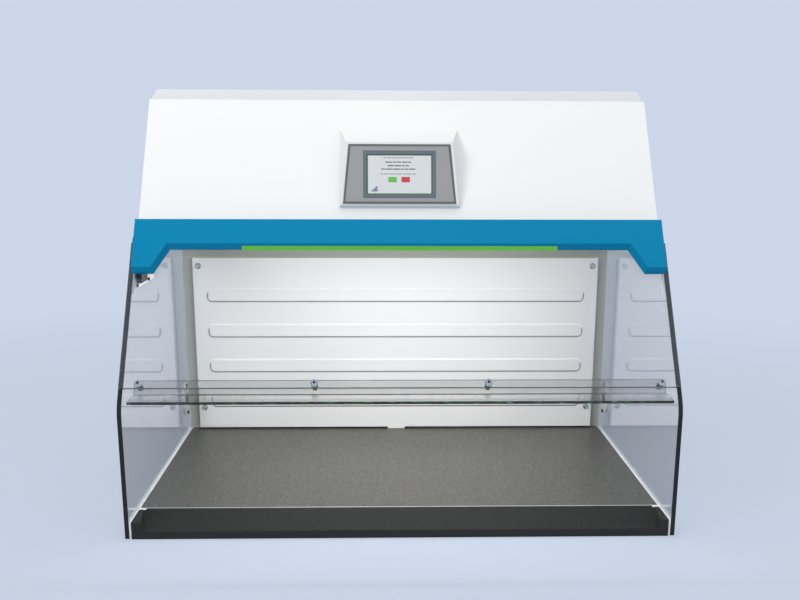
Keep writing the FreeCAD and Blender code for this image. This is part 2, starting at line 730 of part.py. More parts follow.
def make_rear():
    wall = new_body("rear_wall")
    box(wall, both(inner - fit_gap), (rear_face, rear_face + rear_thick), (0, chamber_top - fit_gap))
    frame = new_body("rear_frame")
    deep = (rear_face + rear_thick, back)
    inside = (deep[0] + post_wall, deep[1] - post_wall)
    outer = inner - fit_gap
    for side in SIDES:
        box(frame, outward(side, outer - post_wide, outer), deep, (0, chamber_top - fit_gap))
    box(frame, both(outer - post_wide + 1), deep, (0, post_wide))
    for side in SIDES:
        hollow = outward(side, outer - post_wide + post_wall, outer - post_wall)
        box(frame, hollow, inside, (post_wall, chamber_top), cut=True)
    box(frame, both(outer - post_wide), inside, (post_wall, post_wide - post_wall), cut=True)

    baffle = new_body("rear_baffle")
    face = rear_face - baffle_stand
    box(baffle, both(baffle_half), (face, face + sheet_steel), (baffle_bottom, baffle_top))
    tab = (base_height + fit_gap, baffle_bottom)
    box(baffle, both(tab_half), (face, face + sheet_steel), tab)
    for side in SIDES:
        edge = outward(side, baffle_half - sheet_steel, baffle_half)
        box(baffle, edge, (face + sheet_steel, rear_face - fit_gap), (baffle_bottom, baffle_top))
    tall = (rib_low, rib_low + rib_tall)
    rib = box(baffle, both(rib_half), (face - rib_raise, face), tall)
    row(baffle, [rib], "z", 4, 3 * rib_pitch)
    inside = both(rib_half - sheet_steel)
    dent = box(baffle, inside, (face - rib_raise + sheet_steel, face + sheet_steel + 1),
               (tall[0] + sheet_steel, tall[1] - sheet_steel), cut=True)
    pressed = row(baffle, [dent], "z", 4, 3 * rib_pitch)
    front_level = face - rib_raise / 2
    rounded = round_edges(baffle, pressed, rib_corner,
                          lambda p, e: near(p.y, front_level) and near(abs(p.x), rib_half)
                          and near(e.Length, rib_raise))
    baffle.Tip = rounded

    spacers = new_body("baffle_spacers")
    bolts = new_body("baffle_screws")
    for side in SIDES:
        for level in (bolt_low, bolt_high):
            spot = (SIDES[side] * bolt_half, level)
            prism(spacers, "y", hexagon(spot, spacer_wide), (face + sheet_steel, rear_face))
            crown = [(0, face), (bolt_head / 2, face), (bolt_head / 2, face - bolt_rise * 0.45),
                     (bolt_head * 0.3, face - bolt_rise), (0, face - bolt_rise)]
            turned(bolts, "y", spot, crown)


# Head: floor, header, covers and exhaust

def make_head():
    floor = new_body("head_floor")
    floor_front = slope_depth(chamber_top, header_inset + sheet_steel + fit_gap) + sheet_steel
    level = (chamber_top, chamber_top + sheet_steel)
    box(floor, both(sheet_in - fit_gap), (floor_front, back - sheet_steel - fit_gap), level)
    hole_half = filter_wide / 2 - filter_ledge
    hole = (filter_front + filter_ledge, filter_front + filter_deep - filter_ledge)
    box(floor, both(hole_half), hole, (chamber_top - 1, chamber_top + sheet_steel + 1), cut=True)

    header = new_slope_body("head_header")
    box(header, both(sheet_in - fit_gap), (header_inset, header_inset + sheet_steel),
        (header_low, cover_low))

    cover = new_slope_body("head_front_cover")
    high = slope_along(head_top, cover_inset)
    box(cover, both(head_half), (cover_inset, face_in), (cover_low, high))
    box(cover, both(sheet_in - fit_gap), (face_in, header_inset + sheet_steel),
        (cover_low, cover_low + sheet_steel))
    for side in SIDES:
        edge = outward(side, sheet_in - fit_gap - sheet_steel, sheet_in - fit_gap)
        box(cover, edge, (face_in, face_in + cover_return), (cover_low + sheet_steel, high))

    rim = head_top - fit_gap
    floor_level = chamber_top
    nose = cover_low * rise + knee_height - (face_in + fit_gap) * run
    contour = [(slope_depth(lug_low, lug_inset), lug_low),
               (slope_depth(lug_low, lug_inset + lug_deep), lug_low),
               (slope_depth(floor_level, lug_inset + lug_deep), floor_level),
               (back - sheet_steel - fit_gap, floor_level),
               (back - sheet_steel - fit_gap, rim),
               (slope_depth(rim, face_in + fit_gap), rim),
               (slope_depth(nose, face_in + fit_gap), nose),
               (slope_depth(nose, lug_inset), nose)]
    for side in SIDES:
        cheek = new_body(f"head_side_{side}")
        prism(cheek, "x", contour, outward(side, sheet_in, head_half))

    rear = new_body("head_back")
    box(rear, both(head_half), (back - sheet_steel, back), (chamber_top, head_top - fit_gap))
    hole_x = span_of(-inlet_left, inlet_body_wide / 2 + fit_gap)
    hole_z = span_of(inlet_high, inlet_body_tall / 2 + fit_gap)
    box(rear, hole_x, (back - sheet_steel - 1, back + 1), hole_z, cut=True)

    cap = new_body("head_top_cover")
    wide = head_half - cap_inset
    low = head_top
    high = head_top + cap_tall
    cap_front = slope_depth(head_top, cover_inset) + 1
    contour = [(-wide, low), (wide, low), (wide, low + cap_edge), (wide - cap_chamfer, high),
               (-wide + cap_chamfer, high), (-wide, low + cap_edge)]
    prism(cap, "y", contour, (cap_front, back))
    wall = sheet_steel
    contour = [(-wide + wall, low - 1), (wide - wall, low - 1), (wide - wall, low + cap_edge),
               (wide - cap_chamfer - wall / 2, high - wall), (-wide + cap_chamfer + wall / 2, high - wall),
               (-wide + wall, low + cap_edge)]
    prism(cap, "y", contour, (cap_front + wall, back - wall), cut=True)
    vent_y = (back - vent_back - vent_deep, back - vent_back)
    box(cap, both(vent_wide / 2), vent_y, (high - wall - 1, high + 1), cut=True)

    grille = new_body("exhaust_grille")
    grille_x = vent_wide / 2 + grille_lap
    grille_y = (vent_y[0] - grille_lap, vent_y[1] + grille_lap)
    box(grille, both(grille_x), grille_y, (high, high + sheet_steel))
    long = (vent_deep - 3 * slot_bar) / 2
    pitch = (vent_wide - 2 * slot_bar - slot_wide) / (slot_count - 1)
    start = slot_bar - vent_wide / 2
    first = vent_y[0] + slot_bar
    second = first + long + slot_bar
    through = (high - 1, high + sheet_steel + 1)
    slots = [box(grille, (start, start + slot_wide), (low_y, low_y + long), through, cut=True)
             for low_y in (first, second)]
    row(grille, slots, "x", slot_count, pitch * (slot_count - 1))


# Filters above the chamber ceiling

def frame_ring(body, level, wall, margin=0):
    """Rectangular ring with the filter's outline."""
    outer_x = filter_wide / 2 - margin
    outer_y = (filter_front + margin, filter_front + filter_deep - margin)
    box(body, both(outer_x), outer_y, level)
    box(body, both(outer_x - wall), (outer_y[0] + wall, outer_y[1] - wall),
        (level[0] - 1, level[1] + 1), cut=True)


def make_filters():
    base = chamber_top + sheet_steel
    level = (base, base + prefilter_tall)
    prefilter = new_body("prefilter")
    box(prefilter, both(filter_wide / 2), (filter_front, filter_front + filter_deep), level)
    window = both(filter_wide / 2 - filter_ledge)
    window_y = (filter_front + filter_ledge, filter_front + filter_deep - filter_ledge)
    box(prefilter, window, window_y, (level[1] - prefilter_lip, level[1] + 1), cut=True)

    gasket = new_body("filter_gasket")
    level = (level[1], level[1] + gasket_tall)
    frame_ring(gasket, level, filter_wall)

    frame = new_body("filter_frame")
    level = (level[1], level[1] + filter_tall)
    frame_ring(frame, level, filter_wall)

    pack = new_body("filter_pleats")
    room_x = filter_wide / 2 - filter_wall - fit_gap
    count = int((2 * room_x.value - pleat_thick.value) // pleat_pitch.value)
    start = -pleat_pitch * count / 2
    low = level[0] + pleat_end
    high = level[1] - pleat_end
    wall = pleat_thick / 2
    crown = pleat_thick * 2
    middle = start + pleat_pitch / 2
    stop = start + pleat_pitch
    contour = [(start - wall, low), (start + wall, low), (middle, high - crown), (stop - wall, low),
               (stop + wall, low), (stop + wall, low + crown / 2), (middle + wall, high),
               (middle - wall, high), (start - wall, low + crown / 2)]
    pleat_y = (filter_front + filter_wall + fit_gap,
               filter_front + filter_deep - filter_wall - fit_gap)
    fold = prism(pack, "y", contour, pleat_y)
    row(pack, [fold], "x", count, pleat_pitch * (count - 1))
    return level[1]


# Fan, its deck and motor

def make_fan(filter_roof):
    deck = new_body("fan_deck")
    level = (filter_roof, filter_roof + deck_thick)
    deck_front = slope_depth(filter_roof + deck_thick, header_inset + sheet_steel) + 3
    deck_y = (deck_front, back - sheet_steel - fit_gap)
    half_x = sheet_in - 2 * fit_gap - sheet_steel
    box(deck, both(half_x), deck_y, level)
    for side in SIDES:
        edge = outward(side, half_x - deck_thick, half_x)
        flange_y = (deck_front + deck_flange, deck_y[1])
        box(deck, edge, flange_y, (level[1], level[1] + deck_flange))
    rod(deck, "z", (0, fan_back), inlet_flare - 2 * inlet_wall, (level[0] - 1, level[1] + 1), cut=True)

    top = level[1]
    mouth = new_body("fan_inlet_ring")
    # The ring's flange lies on the deck and its throat ends inside the wheel's eye.
    set_place(mouth, y=front_y + fan_back)
    axis = (0, 0)
    throat = (top, top + inlet_tall)
    prism(mouth, "z", polygon(axis, inlet_flare + 2 * inlet_rim, DISC_SIDES), (top, top + inlet_wall))
    prism(mouth, "z", polygon(axis, inlet_bore + 2 * inlet_wall, BORE_SIDES), throat)
    prism(mouth, "z", polygon(axis, inlet_bore, BORE_SIDES), (top - 1, top + inlet_tall + 1), cut=True)

    wheel = new_body("fan_wheel")
    set_place(wheel, y=front_y + fan_back)
    low = top + wheel_gap
    high = low + wheel_tall
    eye = wheel_eye / 2
    rim = polygon(axis, wheel_wide, DISC_SIDES)
    prism(wheel, "z", rim, (low, low + wheel_disc))
    prism(wheel, "z", polygon(axis, wheel_eye, DISC_SIDES), (low - 1, low + wheel_disc + 1), cut=True)
    prism(wheel, "z", rim, (high - wheel_disc, high))
    prism(wheel, "z", polygon(axis, hub_wide, BORE_SIDES), (high - hub_tall, high - wheel_disc))
    root = eye + blade_margin
    foot = low + wheel_disc / 2
    blade = box(wheel, (root, root + blade_long), both(blade_thick / 2), (foot, high - wheel_disc / 2))
    lean_turn = Rotation(Vector(0, 0, 1), blade_lean.value)
    pivot = Vector(root.value, 0, 0)
    corner = Vector(root.value, -blade_thick.value / 2, foot.value)
    blade.Placement = Placement(pivot + lean_turn.multVec(corner - pivot), lean_turn)
    blade.setExpression("Placement.Rotation.Angle", blade_lean.text)
    bind(blade, "Placement.Base.x", root + blade_thick / 2 * sine(blade_lean))
    bind(blade, "Placement.Base.y", -(blade_thick / 2) * cosine(blade_lean))
    ring(wheel, [blade], blade_count)
    rod(wheel, "z", (0, 0), shaft_wide + 2 * shaft_play, (high - hub_tall - 1, high + 1), cut=True)

    motor = new_body("fan_motor")
    set_place(motor, y=front_y + fan_back)
    seat = high + motor_gap
    prism(motor, "z", polygon(axis, hub_wide, BORE_SIDES), (seat, seat + motor_tall))
    rod(motor, "z", (0, 0), shaft_wide, (high - hub_tall + 2, seat))

    bridge = new_body("motor_bridge")
    set_place(bridge, y=front_y + fan_back)
    roof = seat + motor_tall
    thick = bridge_thick
    box(bridge, both(bridge_half), both(bridge_wide / 2), (roof, roof + thick))
    for side in SIDES:
        leg = outward(side, bridge_half - thick, bridge_half)
        foot = outward(side, bridge_half - thick, bridge_half + bridge_foot)
        box(bridge, leg, both(bridge_wide / 2), (top, roof))
        box(bridge, foot, both(bridge_wide / 2), (top, top + thick))

    control = new_body("control_box")
    wide = (control_wide - control_left, -control_left)
    deep = (back - control_deep - control_back, back - control_back)
    box(control, (wide[1], wide[0]), deep, (top, top + control_tall - control_lid))
    lid = new_body("control_lid")
    lid_x = (wide[1] - control_lap, wide[0] + control_lap)
    lid_y = (deep[0] - control_lap, deep[1] + control_lap)
    box(lid, lid_x, lid_y, (top + control_tall - control_lid, top + control_tall))


# Lamp under the ceiling, switch plate and switch

def make_inside():
    lamp = new_body("lamp_body")
    lamp_y = (lamp_front, lamp_front + lamp_deep)
    roof = chamber_top
    box(lamp, both(lamp_half), lamp_y, (roof - lamp_tall, roof))
    channel = (lamp_y[0] + lamp_wall, lamp_y[1] - lamp_wall)
    level = (roof - lamp_tall - lens_drop, roof - lamp_tall + lens_tall)
    box(lamp, both(lamp_half - lamp_wall), channel, level, cut=True)
    lens = new_body("lamp_lens")
    box(lens, both(lamp_half - lamp_wall - fit_gap), (channel[0] + fit_gap, channel[1] - fit_gap), level)

    plate = new_body("switch_plate")
    plate_x = outward("left", sheet_in - fit_gap - sheet_steel, sheet_in - fit_gap)
    contour = [(slope_depth(plate_low, plate_inset), plate_low), (plate_back, plate_low),
               (plate_back, chamber_top - fit_gap),
               (slope_depth(chamber_top, plate_inset), chamber_top - fit_gap)]
    prism(plate, "x", contour, plate_x)
    face = sheet_in - fit_gap - sheet_steel
    switch = new_body("visor_switch")
    sensor_y = (sensor_front, sensor_front + sensor_deep)
    box(switch, outward("left", face - sensor_thick, face), sensor_y, (sensor_low, sensor_low + sensor_tall))
    screws = new_body("switch_screws")
    for index in range(2):
        spot = (sensor_bolt_front + index * sensor_bolt_pitch, sensor_bolt_high)
        prism(screws, "x", hexagon(spot, sensor_bolt_head), outward("left", face - 3, face))


# Display pod on the head's face

def make_display():
    pod = new_body("display_pod")
    set_place(pod, y=front_y, z=knee_height, axis=(-1, 0, 0), angle=slope)
    # The foot lies on the head's face and the front leans out of it.
    foot = outline(pod, "y", [(-pod_base_half, pod_low), (pod_base_half, pod_low),
                              (pod_base_half, pod_low + pod_base_long),
                              (-pod_base_half, pod_low + pod_base_long)], -cover_inset)
    turn = slope - pod_tilt
    face = new_sketch(pod, "front", "XZ_Plane")
    fill_outline(face, [(-pod_low_half, 0), (pod_low_half, 0),
                        (pod_high_half, pod_face_tall), (-pod_high_half, pod_face_tall)])
    out = pod_step - cover_inset
    face.AttachmentOffset = Placement(Vector(0, pod_low.value, out.value),
                                      Rotation(Vector(1, 0, 0), turn.value))
    bind(face, "AttachmentOffset.Base.y", pod_low)
    bind(face, "AttachmentOffset.Base.z", out)
    bind(face, "AttachmentOffset.Rotation.Angle", turn)
    shell = pod.newObject("PartDesign::AdditiveLoft", "shell")
    shell.Profile = foot
    shell.Sections = [face]
    shell.Ruled = True

    edge = bezel_edge
    taper = (pod_low_half - pod_high_half) / pod_face_tall
    low_half = pod_low_half - edge - edge * taper
    high_half = pod_high_half - edge + edge * taper
    trapezoid = [(-low_half, edge / 2), (low_half, edge / 2),
                 (high_half, pod_face_tall - edge), (-high_half, pod_face_tall - edge)]
    screen_z = (screen_low, screen_low + screen_tall)
    # Seats for the bezel and the screen, cut square to the pod's front.
    cutter_face = new_sketch(pod, "bezel_seat", "XZ_Plane")
    grown = [(u + (fit_gap if u.value > 0 else -fit_gap), v) for u, v in
             [(as_size(u), as_size(v)) for u, v in trapezoid]]
    fill_outline(cutter_face, grown)
    cutter_face.AttachmentOffset = face.AttachmentOffset
    bind(cutter_face, "AttachmentOffset.Base.y", pod_low)
    bind(cutter_face, "AttachmentOffset.Base.z", out)
    bind(cutter_face, "AttachmentOffset.Rotation.Angle", turn)
    seat = pod.newObject("PartDesign::Pocket", "bezel_pocket")
    seat.Profile = cutter_face
    bind(seat, "Length", bezel_sunk)
    hole_face = new_sketch(pod, "screen_seat", "XZ_Plane")
    fill_outline(hole_face, [(-screen_wide / 2 - fit_gap, screen_z[0] - fit_gap),
                             (screen_wide / 2 + fit_gap, screen_z[0] - fit_gap),
                             (screen_wide / 2 + fit_gap, screen_z[1] + fit_gap),
                             (-screen_wide / 2 - fit_gap, screen_z[1] + fit_gap)])
    hole_face.AttachmentOffset = face.AttachmentOffset
    bind(hole_face, "AttachmentOffset.Base.y", pod_low)
    bind(hole_face, "AttachmentOffset.Base.z", out)
    bind(hole_face, "AttachmentOffset.Rotation.Angle", turn)
    hole = pod.newObject("PartDesign::Pocket", "screen_pocket")
    hole.Profile = hole_face
    bind(hole, "Length", screen_sunk)

    bezel = new_pod_body("display_bezel")
    prism(bezel, "y", trapezoid, (-bezel_raise, bezel_sunk))
    box(bezel, both(screen_wide / 2 + fit_gap), (-bezel_raise - 1, bezel_sunk + 1),
        (screen_z[0] - fit_gap, screen_z[1] + fit_gap), cut=True)

    surround = new_pod_body("screen_surround")
    box(surround, both(screen_wide / 2), (-bezel_raise, screen_sunk), screen_z)
    wall = surround_wall
    window = (screen_z[0] + wall, screen_z[1] - wall)
    box(surround, both(screen_wide / 2 - wall), (-bezel_raise - 1, screen_sunk + 1), window, cut=True)
    glass = new_pod_body("touch_screen")
    box(glass, both(screen_wide / 2 - wall - fit_gap), (0, glass_thick),
        (window[0] + fit_gap, window[1] - fit_gap))
    board = new_pod_body("display_board")
    box(board, both(screen_wide / 2 - wall - fit_gap), (glass_thick, screen_sunk),
        (window[0] + fit_gap, window[1] - fit_gap))


# Power inlet and mains switch on the back

def make_power():
    inlet = new_body("power_inlet")
    centre_x, centre_z = -inlet_left, inlet_high
    box(inlet, span_of(centre_x, inlet_wide / 2), (back, back + inlet_rise),
        span_of(centre_z, inlet_flange_tall / 2))
    box(inlet, span_of(centre_x, inlet_body_wide / 2), (back - inlet_body, back),
        span_of(centre_z, inlet_body_tall / 2))
    socket_z = centre_z - inlet_body_tall / 2 + 6 + socket_tall / 2
    socket = (back + inlet_rise - socket_deep, back + inlet_rise + 1)
    box(inlet, span_of(centre_x, socket_wide / 2), socket, span_of(socket_z, socket_tall / 2), cut=True)
    rocker_z = centre_z + inlet_body_tall / 2 - 6 - rocker_tall / 2
    well = (back - 10, back + inlet_rise + 1)
    box(inlet, span_of(centre_x, rocker_wide / 2 + fit_gap), well,
        span_of(rocker_z, rocker_tall / 2 + 4 * fit_gap), cut=True)
    pivot_y = back - 3
    rod(inlet, "x", (pivot_y, rocker_z), rocker_pin, span_of(centre_x, rocker_wide / 2 + 1))
    for offset, lift in ((-6, -2), (6, -2), (0, 3)):
        box(inlet, span_of(centre_x + offset, 1), (back + inlet_rise - socket_deep - 1, back + inlet_rise - 3),
            span_of(socket_z + lift, 2))

    rocker = new_body("mains_rocker")
    set_place(rocker, x=centre_x, y=front_y + pivot_y, z=rocker_z)
    tall = rocker_tall / 2
    peak = inlet_rise + 3 + 2
    contour = [(-4, -tall * 0.6), (-4, tall * 0.6), (0, tall), (peak - 1, tall * 0.97),
               (peak - 2, 0), (peak - 1, -tall * 0.97), (0, -tall)]
    prism(rocker, "x", contour, both(rocker_wide / 2))
    rod(rocker, "x", (0, 0), rocker_pin + 2 * shaft_play, both(rocker_wide / 2 + 1), cut=True)


# Hood: visor, lip, fascia, bar and hinge

def make_hood():
    visor = new_slope_body("visor")
    box(visor, both(half), (0, visor_thick), (visor_low, visor_high))
    hole = rod(visor, "y", (-knob_half, knob_along), knob_shank + fit_gap, (-1, visor_thick + 1), cut=True)
    row(visor, [hole], "x", LIP_SCREWS, 2 * knob_half)

    lip = new_body("visor_lip")
    near_face = visor_thick + fit_gap
    far_face = near_face + lip_thick
    low = lip_level - lip_thick
    contour = [on_slope(lip_high, near_face), (slope_depth(lip_level, near_face), lip_level),
               (-lip_reach, lip_level), (-lip_reach, low), (slope_depth(low, far_face), low),
               on_slope(lip_high, far_face)]
    bent = prism(lip, "x", contour, both(lip_half))
    inner_bend = round_edges(lip, bent, lip_bend, lambda p, e: near(p.z, lip_level) and
                             near(p.y, slope_depth(lip_level, near_face)) and e.Length > lip_half.value)
    lip_outer = lip_bend + lip_thick
    outer_bend = round_edges(lip, inner_bend, lip_outer, lambda p, e: near(p.z, low) and
                             near(p.y, slope_depth(low, far_face)) and e.Length > lip_half.value)
    top_y, top_z = on_slope(lip_high, near_face + lip_thick / 2)
    round_edges(lip, outer_bend, lip_corner, lambda p, e: near(p.y, top_y) and
                near(p.z, top_z) and near(abs(p.x), lip_half))

    screws = new_slope_body("lip_screws")
    nuts = new_slope_body("lip_nuts")
    reach = visor_thick + fit_gap + lip_thick
    head = knob_head / 2
    head_profile = [(0, 0), (head, 0), (head, -knob_rise * 0.5), (head * 0.62, -knob_rise), (0, -knob_rise)]
    for x in lip_screw_places():
        turned(screws, "y", (x, knob_along), head_profile)
        prism(screws, "y", hexagon((x, knob_along), knob_shank), (0, reach))
        prism(nuts, "y", hexagon((x, knob_along), cap_nut), (reach, reach + cap_nut_tall))
    cut_lip_holes(lip, near_face)

    fascia = new_slope_body("fascia")
    make_fascia(fascia)

    strip = new_slope_body("status_light")
    bevel_run = fascia_face - fascia_back
    bevel = bevel_length()
    # The strip lies on the lower half of the bevel and follows its slant.
    down = fascia_flare / bevel
    inward = bevel_run / bevel
    first = (-fascia_back, fascia_fold - fascia_flare)
    second = (first[0] - inward * strip_wide, first[1] + down * strip_wide)
    shift = (-down * strip_thick, -inward * strip_thick)
    contour = [first, second, (second[0] + shift[0], second[1] + shift[1]),
               (first[0] + shift[0], first[1] + shift[1])]
    prism(strip, "x", contour, both(strip_half))

    bar = new_slope_body("visor_bar")
    bar_front = fascia_face - fascia_wall
    box(bar, both(bar_half), (-bar_front, 0), (bar_low, bar_high))
    box(bar, both(bar_half + 1), (bar_wall - bar_front, -bar_wall),
        (bar_low + bar_wall, bar_high - bar_wall), cut=True)
    bolts = new_slope_body("visor_screws")
    middle = (BAR_SCREWS - 1) / 2
    for index in range(BAR_SCREWS):
        spot = ((bar_half - bar_bolt_margin) * (index - middle) / middle, bar_low + bar_wall + bar_bolt_rise)
        prism(bolts, "y", hexagon(spot, bar_bolt_wide), (-bar_wall - bar_bolt_tall, -bar_wall))


def lip_screw_places():
    """Places of the lip screws from side to side."""
    middle = (LIP_SCREWS - 1) / 2
    return [knob_half * (index - middle) / middle for index in range(LIP_SCREWS)]


def bevel_length():
    deep = fascia_face - fascia_back
    value = math.hypot(deep.value, fascia_flare.value)
    square = f"({deep.text} ^ 2 + {fascia_flare.text} ^ 2)"
    return Size(value, f"sqrt({square})")


def fascia_contour(shrink, flare):
    """Fascia outline, shrunk by a wall and grown at its lower edge by a flare."""
    side = fascia_half - shrink
    high = fascia_high - shrink
    fold = fascia_fold - flare + shrink
    foot = leg_fold - flare + shrink
    # The slanted inner edge of a leg moves square to itself.
    width = leg_inner - leg_root
    height = fascia_fold - leg_fold
    slant_value = math.hypot(width.value, height.value)
    slant = Size(slant_value, f"sqrt(({width.text}) ^ 2 + ({height.text}) ^ 2)")
    off = flare - shrink
    # A line moved square to itself by off shifts on a level line by off * slant / height.
    level_shift = off * slant / height
    grade = width / height
    root = leg_root - level_shift - off * grade * -1
    tip = leg_inner - level_shift - off * grade * -1
    return [(-side, high), (-side, foot), (-tip, foot), (-root, fold),
            (root, fold), (tip, foot), (side, foot), (side, high)]


def make_fascia(body):
    levels = (fascia_back, fascia_face)
    for shrink, cut in ((0, False), (1, True)):
        wall = fascia_wall * shrink
        rear_level = levels[0] - (0.5 if cut else 0)
        grow = fascia_flare / (fascia_face - fascia_back)
        rear = outline(body, "y", fascia_contour(wall, fascia_flare + (0.5 * grow if cut else 0)), rear_level)
        front = outline(body, "y", fascia_contour(wall, grow * wall if cut else 0), levels[1] - wall)
        kind = "PartDesign::SubtractiveLoft" if cut else "PartDesign::AdditiveLoft"
        loft = body.newObject(kind, "loft")
        loft.Profile = rear
        loft.Sections = [front]
        loft.Ruled = True
    # The top returns towards the hinge.
    box(body, both(fascia_half), (-fascia_back, -top_gap), (fascia_high - sheet_steel, fascia_high))


def cut_lip_holes(lip, near_face):
    """Holes square to the lip's upper flange for the four lip screws."""
    for x in lip_screw_places():
        item = lip.newObject("PartDesign::SubtractiveCylinder", "screw_hole")
        bind(item, "Radius", (knob_shank + fit_gap) / 2)
        bind(item, "Height", lip_thick + 4)
        depth, height = on_slope(knob_along, near_face - 2)
        item.Placement = Placement(Vector(), Rotation(Vector(-1, 0, 0), 90 + slope.value))
        set_place(item, x, depth, height, axis=(-1, 0, 0), angle=slope + 90)


def make_hinge():
    edge = hinge_half
    long = 2 * edge / HINGE_KNUCKLES
    radius = knuckle_wide / 2
    gap = fit_gap
    seat = header_inset
    below = pin_along - radius - 2 * fit_gap

    fixed = new_slope_body("hinge_fixed_leaf")
    box(fixed, both(edge), (seat - leaf_thick, seat), (below - leaf_tall, below))
    moving = new_slope_body("hinge_moving_leaf")
    box(moving, both(edge), span_of(pin_inset, leaf_thick / 2), (bar_high, below))
    box(moving, both(edge), (0, leaf_thick), (visor_high + leaf_gap, bar_high))
    for index in range(HINGE_KNUCKLES):
        middle = long * (index - (HINGE_KNUCKLES - 1) / 2)
        reach = (middle - long / 2 + gap, middle + long / 2 - gap)
        spot = (pin_inset, pin_along)
        # The fixed leaf holds the outer knuckles and every second one between them.
        if index % 2 == 0:
            leaf, depth = fixed, (pin_inset + radius - leaf_thick, seat)
        else:
            leaf, depth = moving, span_of(pin_inset, leaf_thick / 2)
        box(leaf, reach, depth, (below - 0.01, pin_along))
        rod(leaf, "x", spot, knuckle_wide, reach)
        bore = pin_wide + 2 * shaft_play
        rod(leaf, "x", spot, bore, (reach[0] - gap / 2, reach[1] + gap / 2), cut=True)
    pin = new_slope_body("hinge_pin")
    rod(pin, "x", (pin_inset, pin_along), pin_wide, both(edge - gap))

    seal = new_slope_body("visor_seal")
    box(seal, both(sheet_in - seal_margin), (visor_thick + fit_gap, header_inset), (seal_low, seal_low + seal_wide))


make_base()
make_sides()
make_rear()
make_head()
filter_roof = make_filters()
make_fan(filter_roof)
make_inside()
make_display()
make_power()
make_hood()
make_hinge()
doc.recompute()

# Nothing is written unless every object and every piece is sound
for item in doc.Objects:
    state = list(item.State)
    if "Invalid" in state or "Error" in state:
        raise RuntimeError(f"{item.Name} of {item.Label} failed: {state}")
for body in nodes:
    if body.Shape.isNull() or not body.Shape.isValid():
        raise RuntimeError(f"{body.Label} has no sound shape")

os.makedirs("parts", exist_ok=True)
for body in nodes:
    body.Shape.exportStep(f"parts/{body.Label}.step")
    print(body.Label, len(body.Shape.Solids), round(body.Shape.Volume / 1000, 1))
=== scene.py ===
import json
import math

import bmesh
import bpy
from mathutils import Matrix, Vector


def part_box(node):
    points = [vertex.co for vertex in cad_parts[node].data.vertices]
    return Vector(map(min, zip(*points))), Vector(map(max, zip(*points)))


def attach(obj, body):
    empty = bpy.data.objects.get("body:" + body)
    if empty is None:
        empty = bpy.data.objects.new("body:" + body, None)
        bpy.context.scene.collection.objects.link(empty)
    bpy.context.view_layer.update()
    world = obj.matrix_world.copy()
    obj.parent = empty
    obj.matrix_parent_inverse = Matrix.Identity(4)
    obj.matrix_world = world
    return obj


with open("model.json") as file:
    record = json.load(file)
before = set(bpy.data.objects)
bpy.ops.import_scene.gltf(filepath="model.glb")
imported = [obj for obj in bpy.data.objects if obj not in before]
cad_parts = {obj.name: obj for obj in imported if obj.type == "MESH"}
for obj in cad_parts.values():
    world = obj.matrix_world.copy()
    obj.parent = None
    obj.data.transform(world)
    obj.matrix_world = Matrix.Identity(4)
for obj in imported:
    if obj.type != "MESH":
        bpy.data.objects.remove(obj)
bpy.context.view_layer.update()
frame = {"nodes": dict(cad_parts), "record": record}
nodes = frame["nodes"]
MM = 0.001
NEAR = 0.01 * MM


# Colours

def linear(red, green, blue):
    """Colour from display values of 0 to 255."""
    def channel(value):
        value /= 255
        return value / 12.92 if value <= 0.04045 else ((value + 0.055) / 1.055) ** 2.4
    return (channel(red), channel(green), channel(blue), 1.0)


def shade(colour, factor):
    """Colour made darker, or lighter up to white."""
    return tuple(min(1.0, part * factor) for part in colour[:3]) + (1.0,)


# Node materials

# Features to the metre in a finish's pattern, and how far clear acrylic bends light
SLOW_DRIFT = 6.0
FINE_LINES = 900.0
METAL_LINE = 18.0
PAINTED_GLINT = 45.0
ACRYLIC_IOR = 1.49


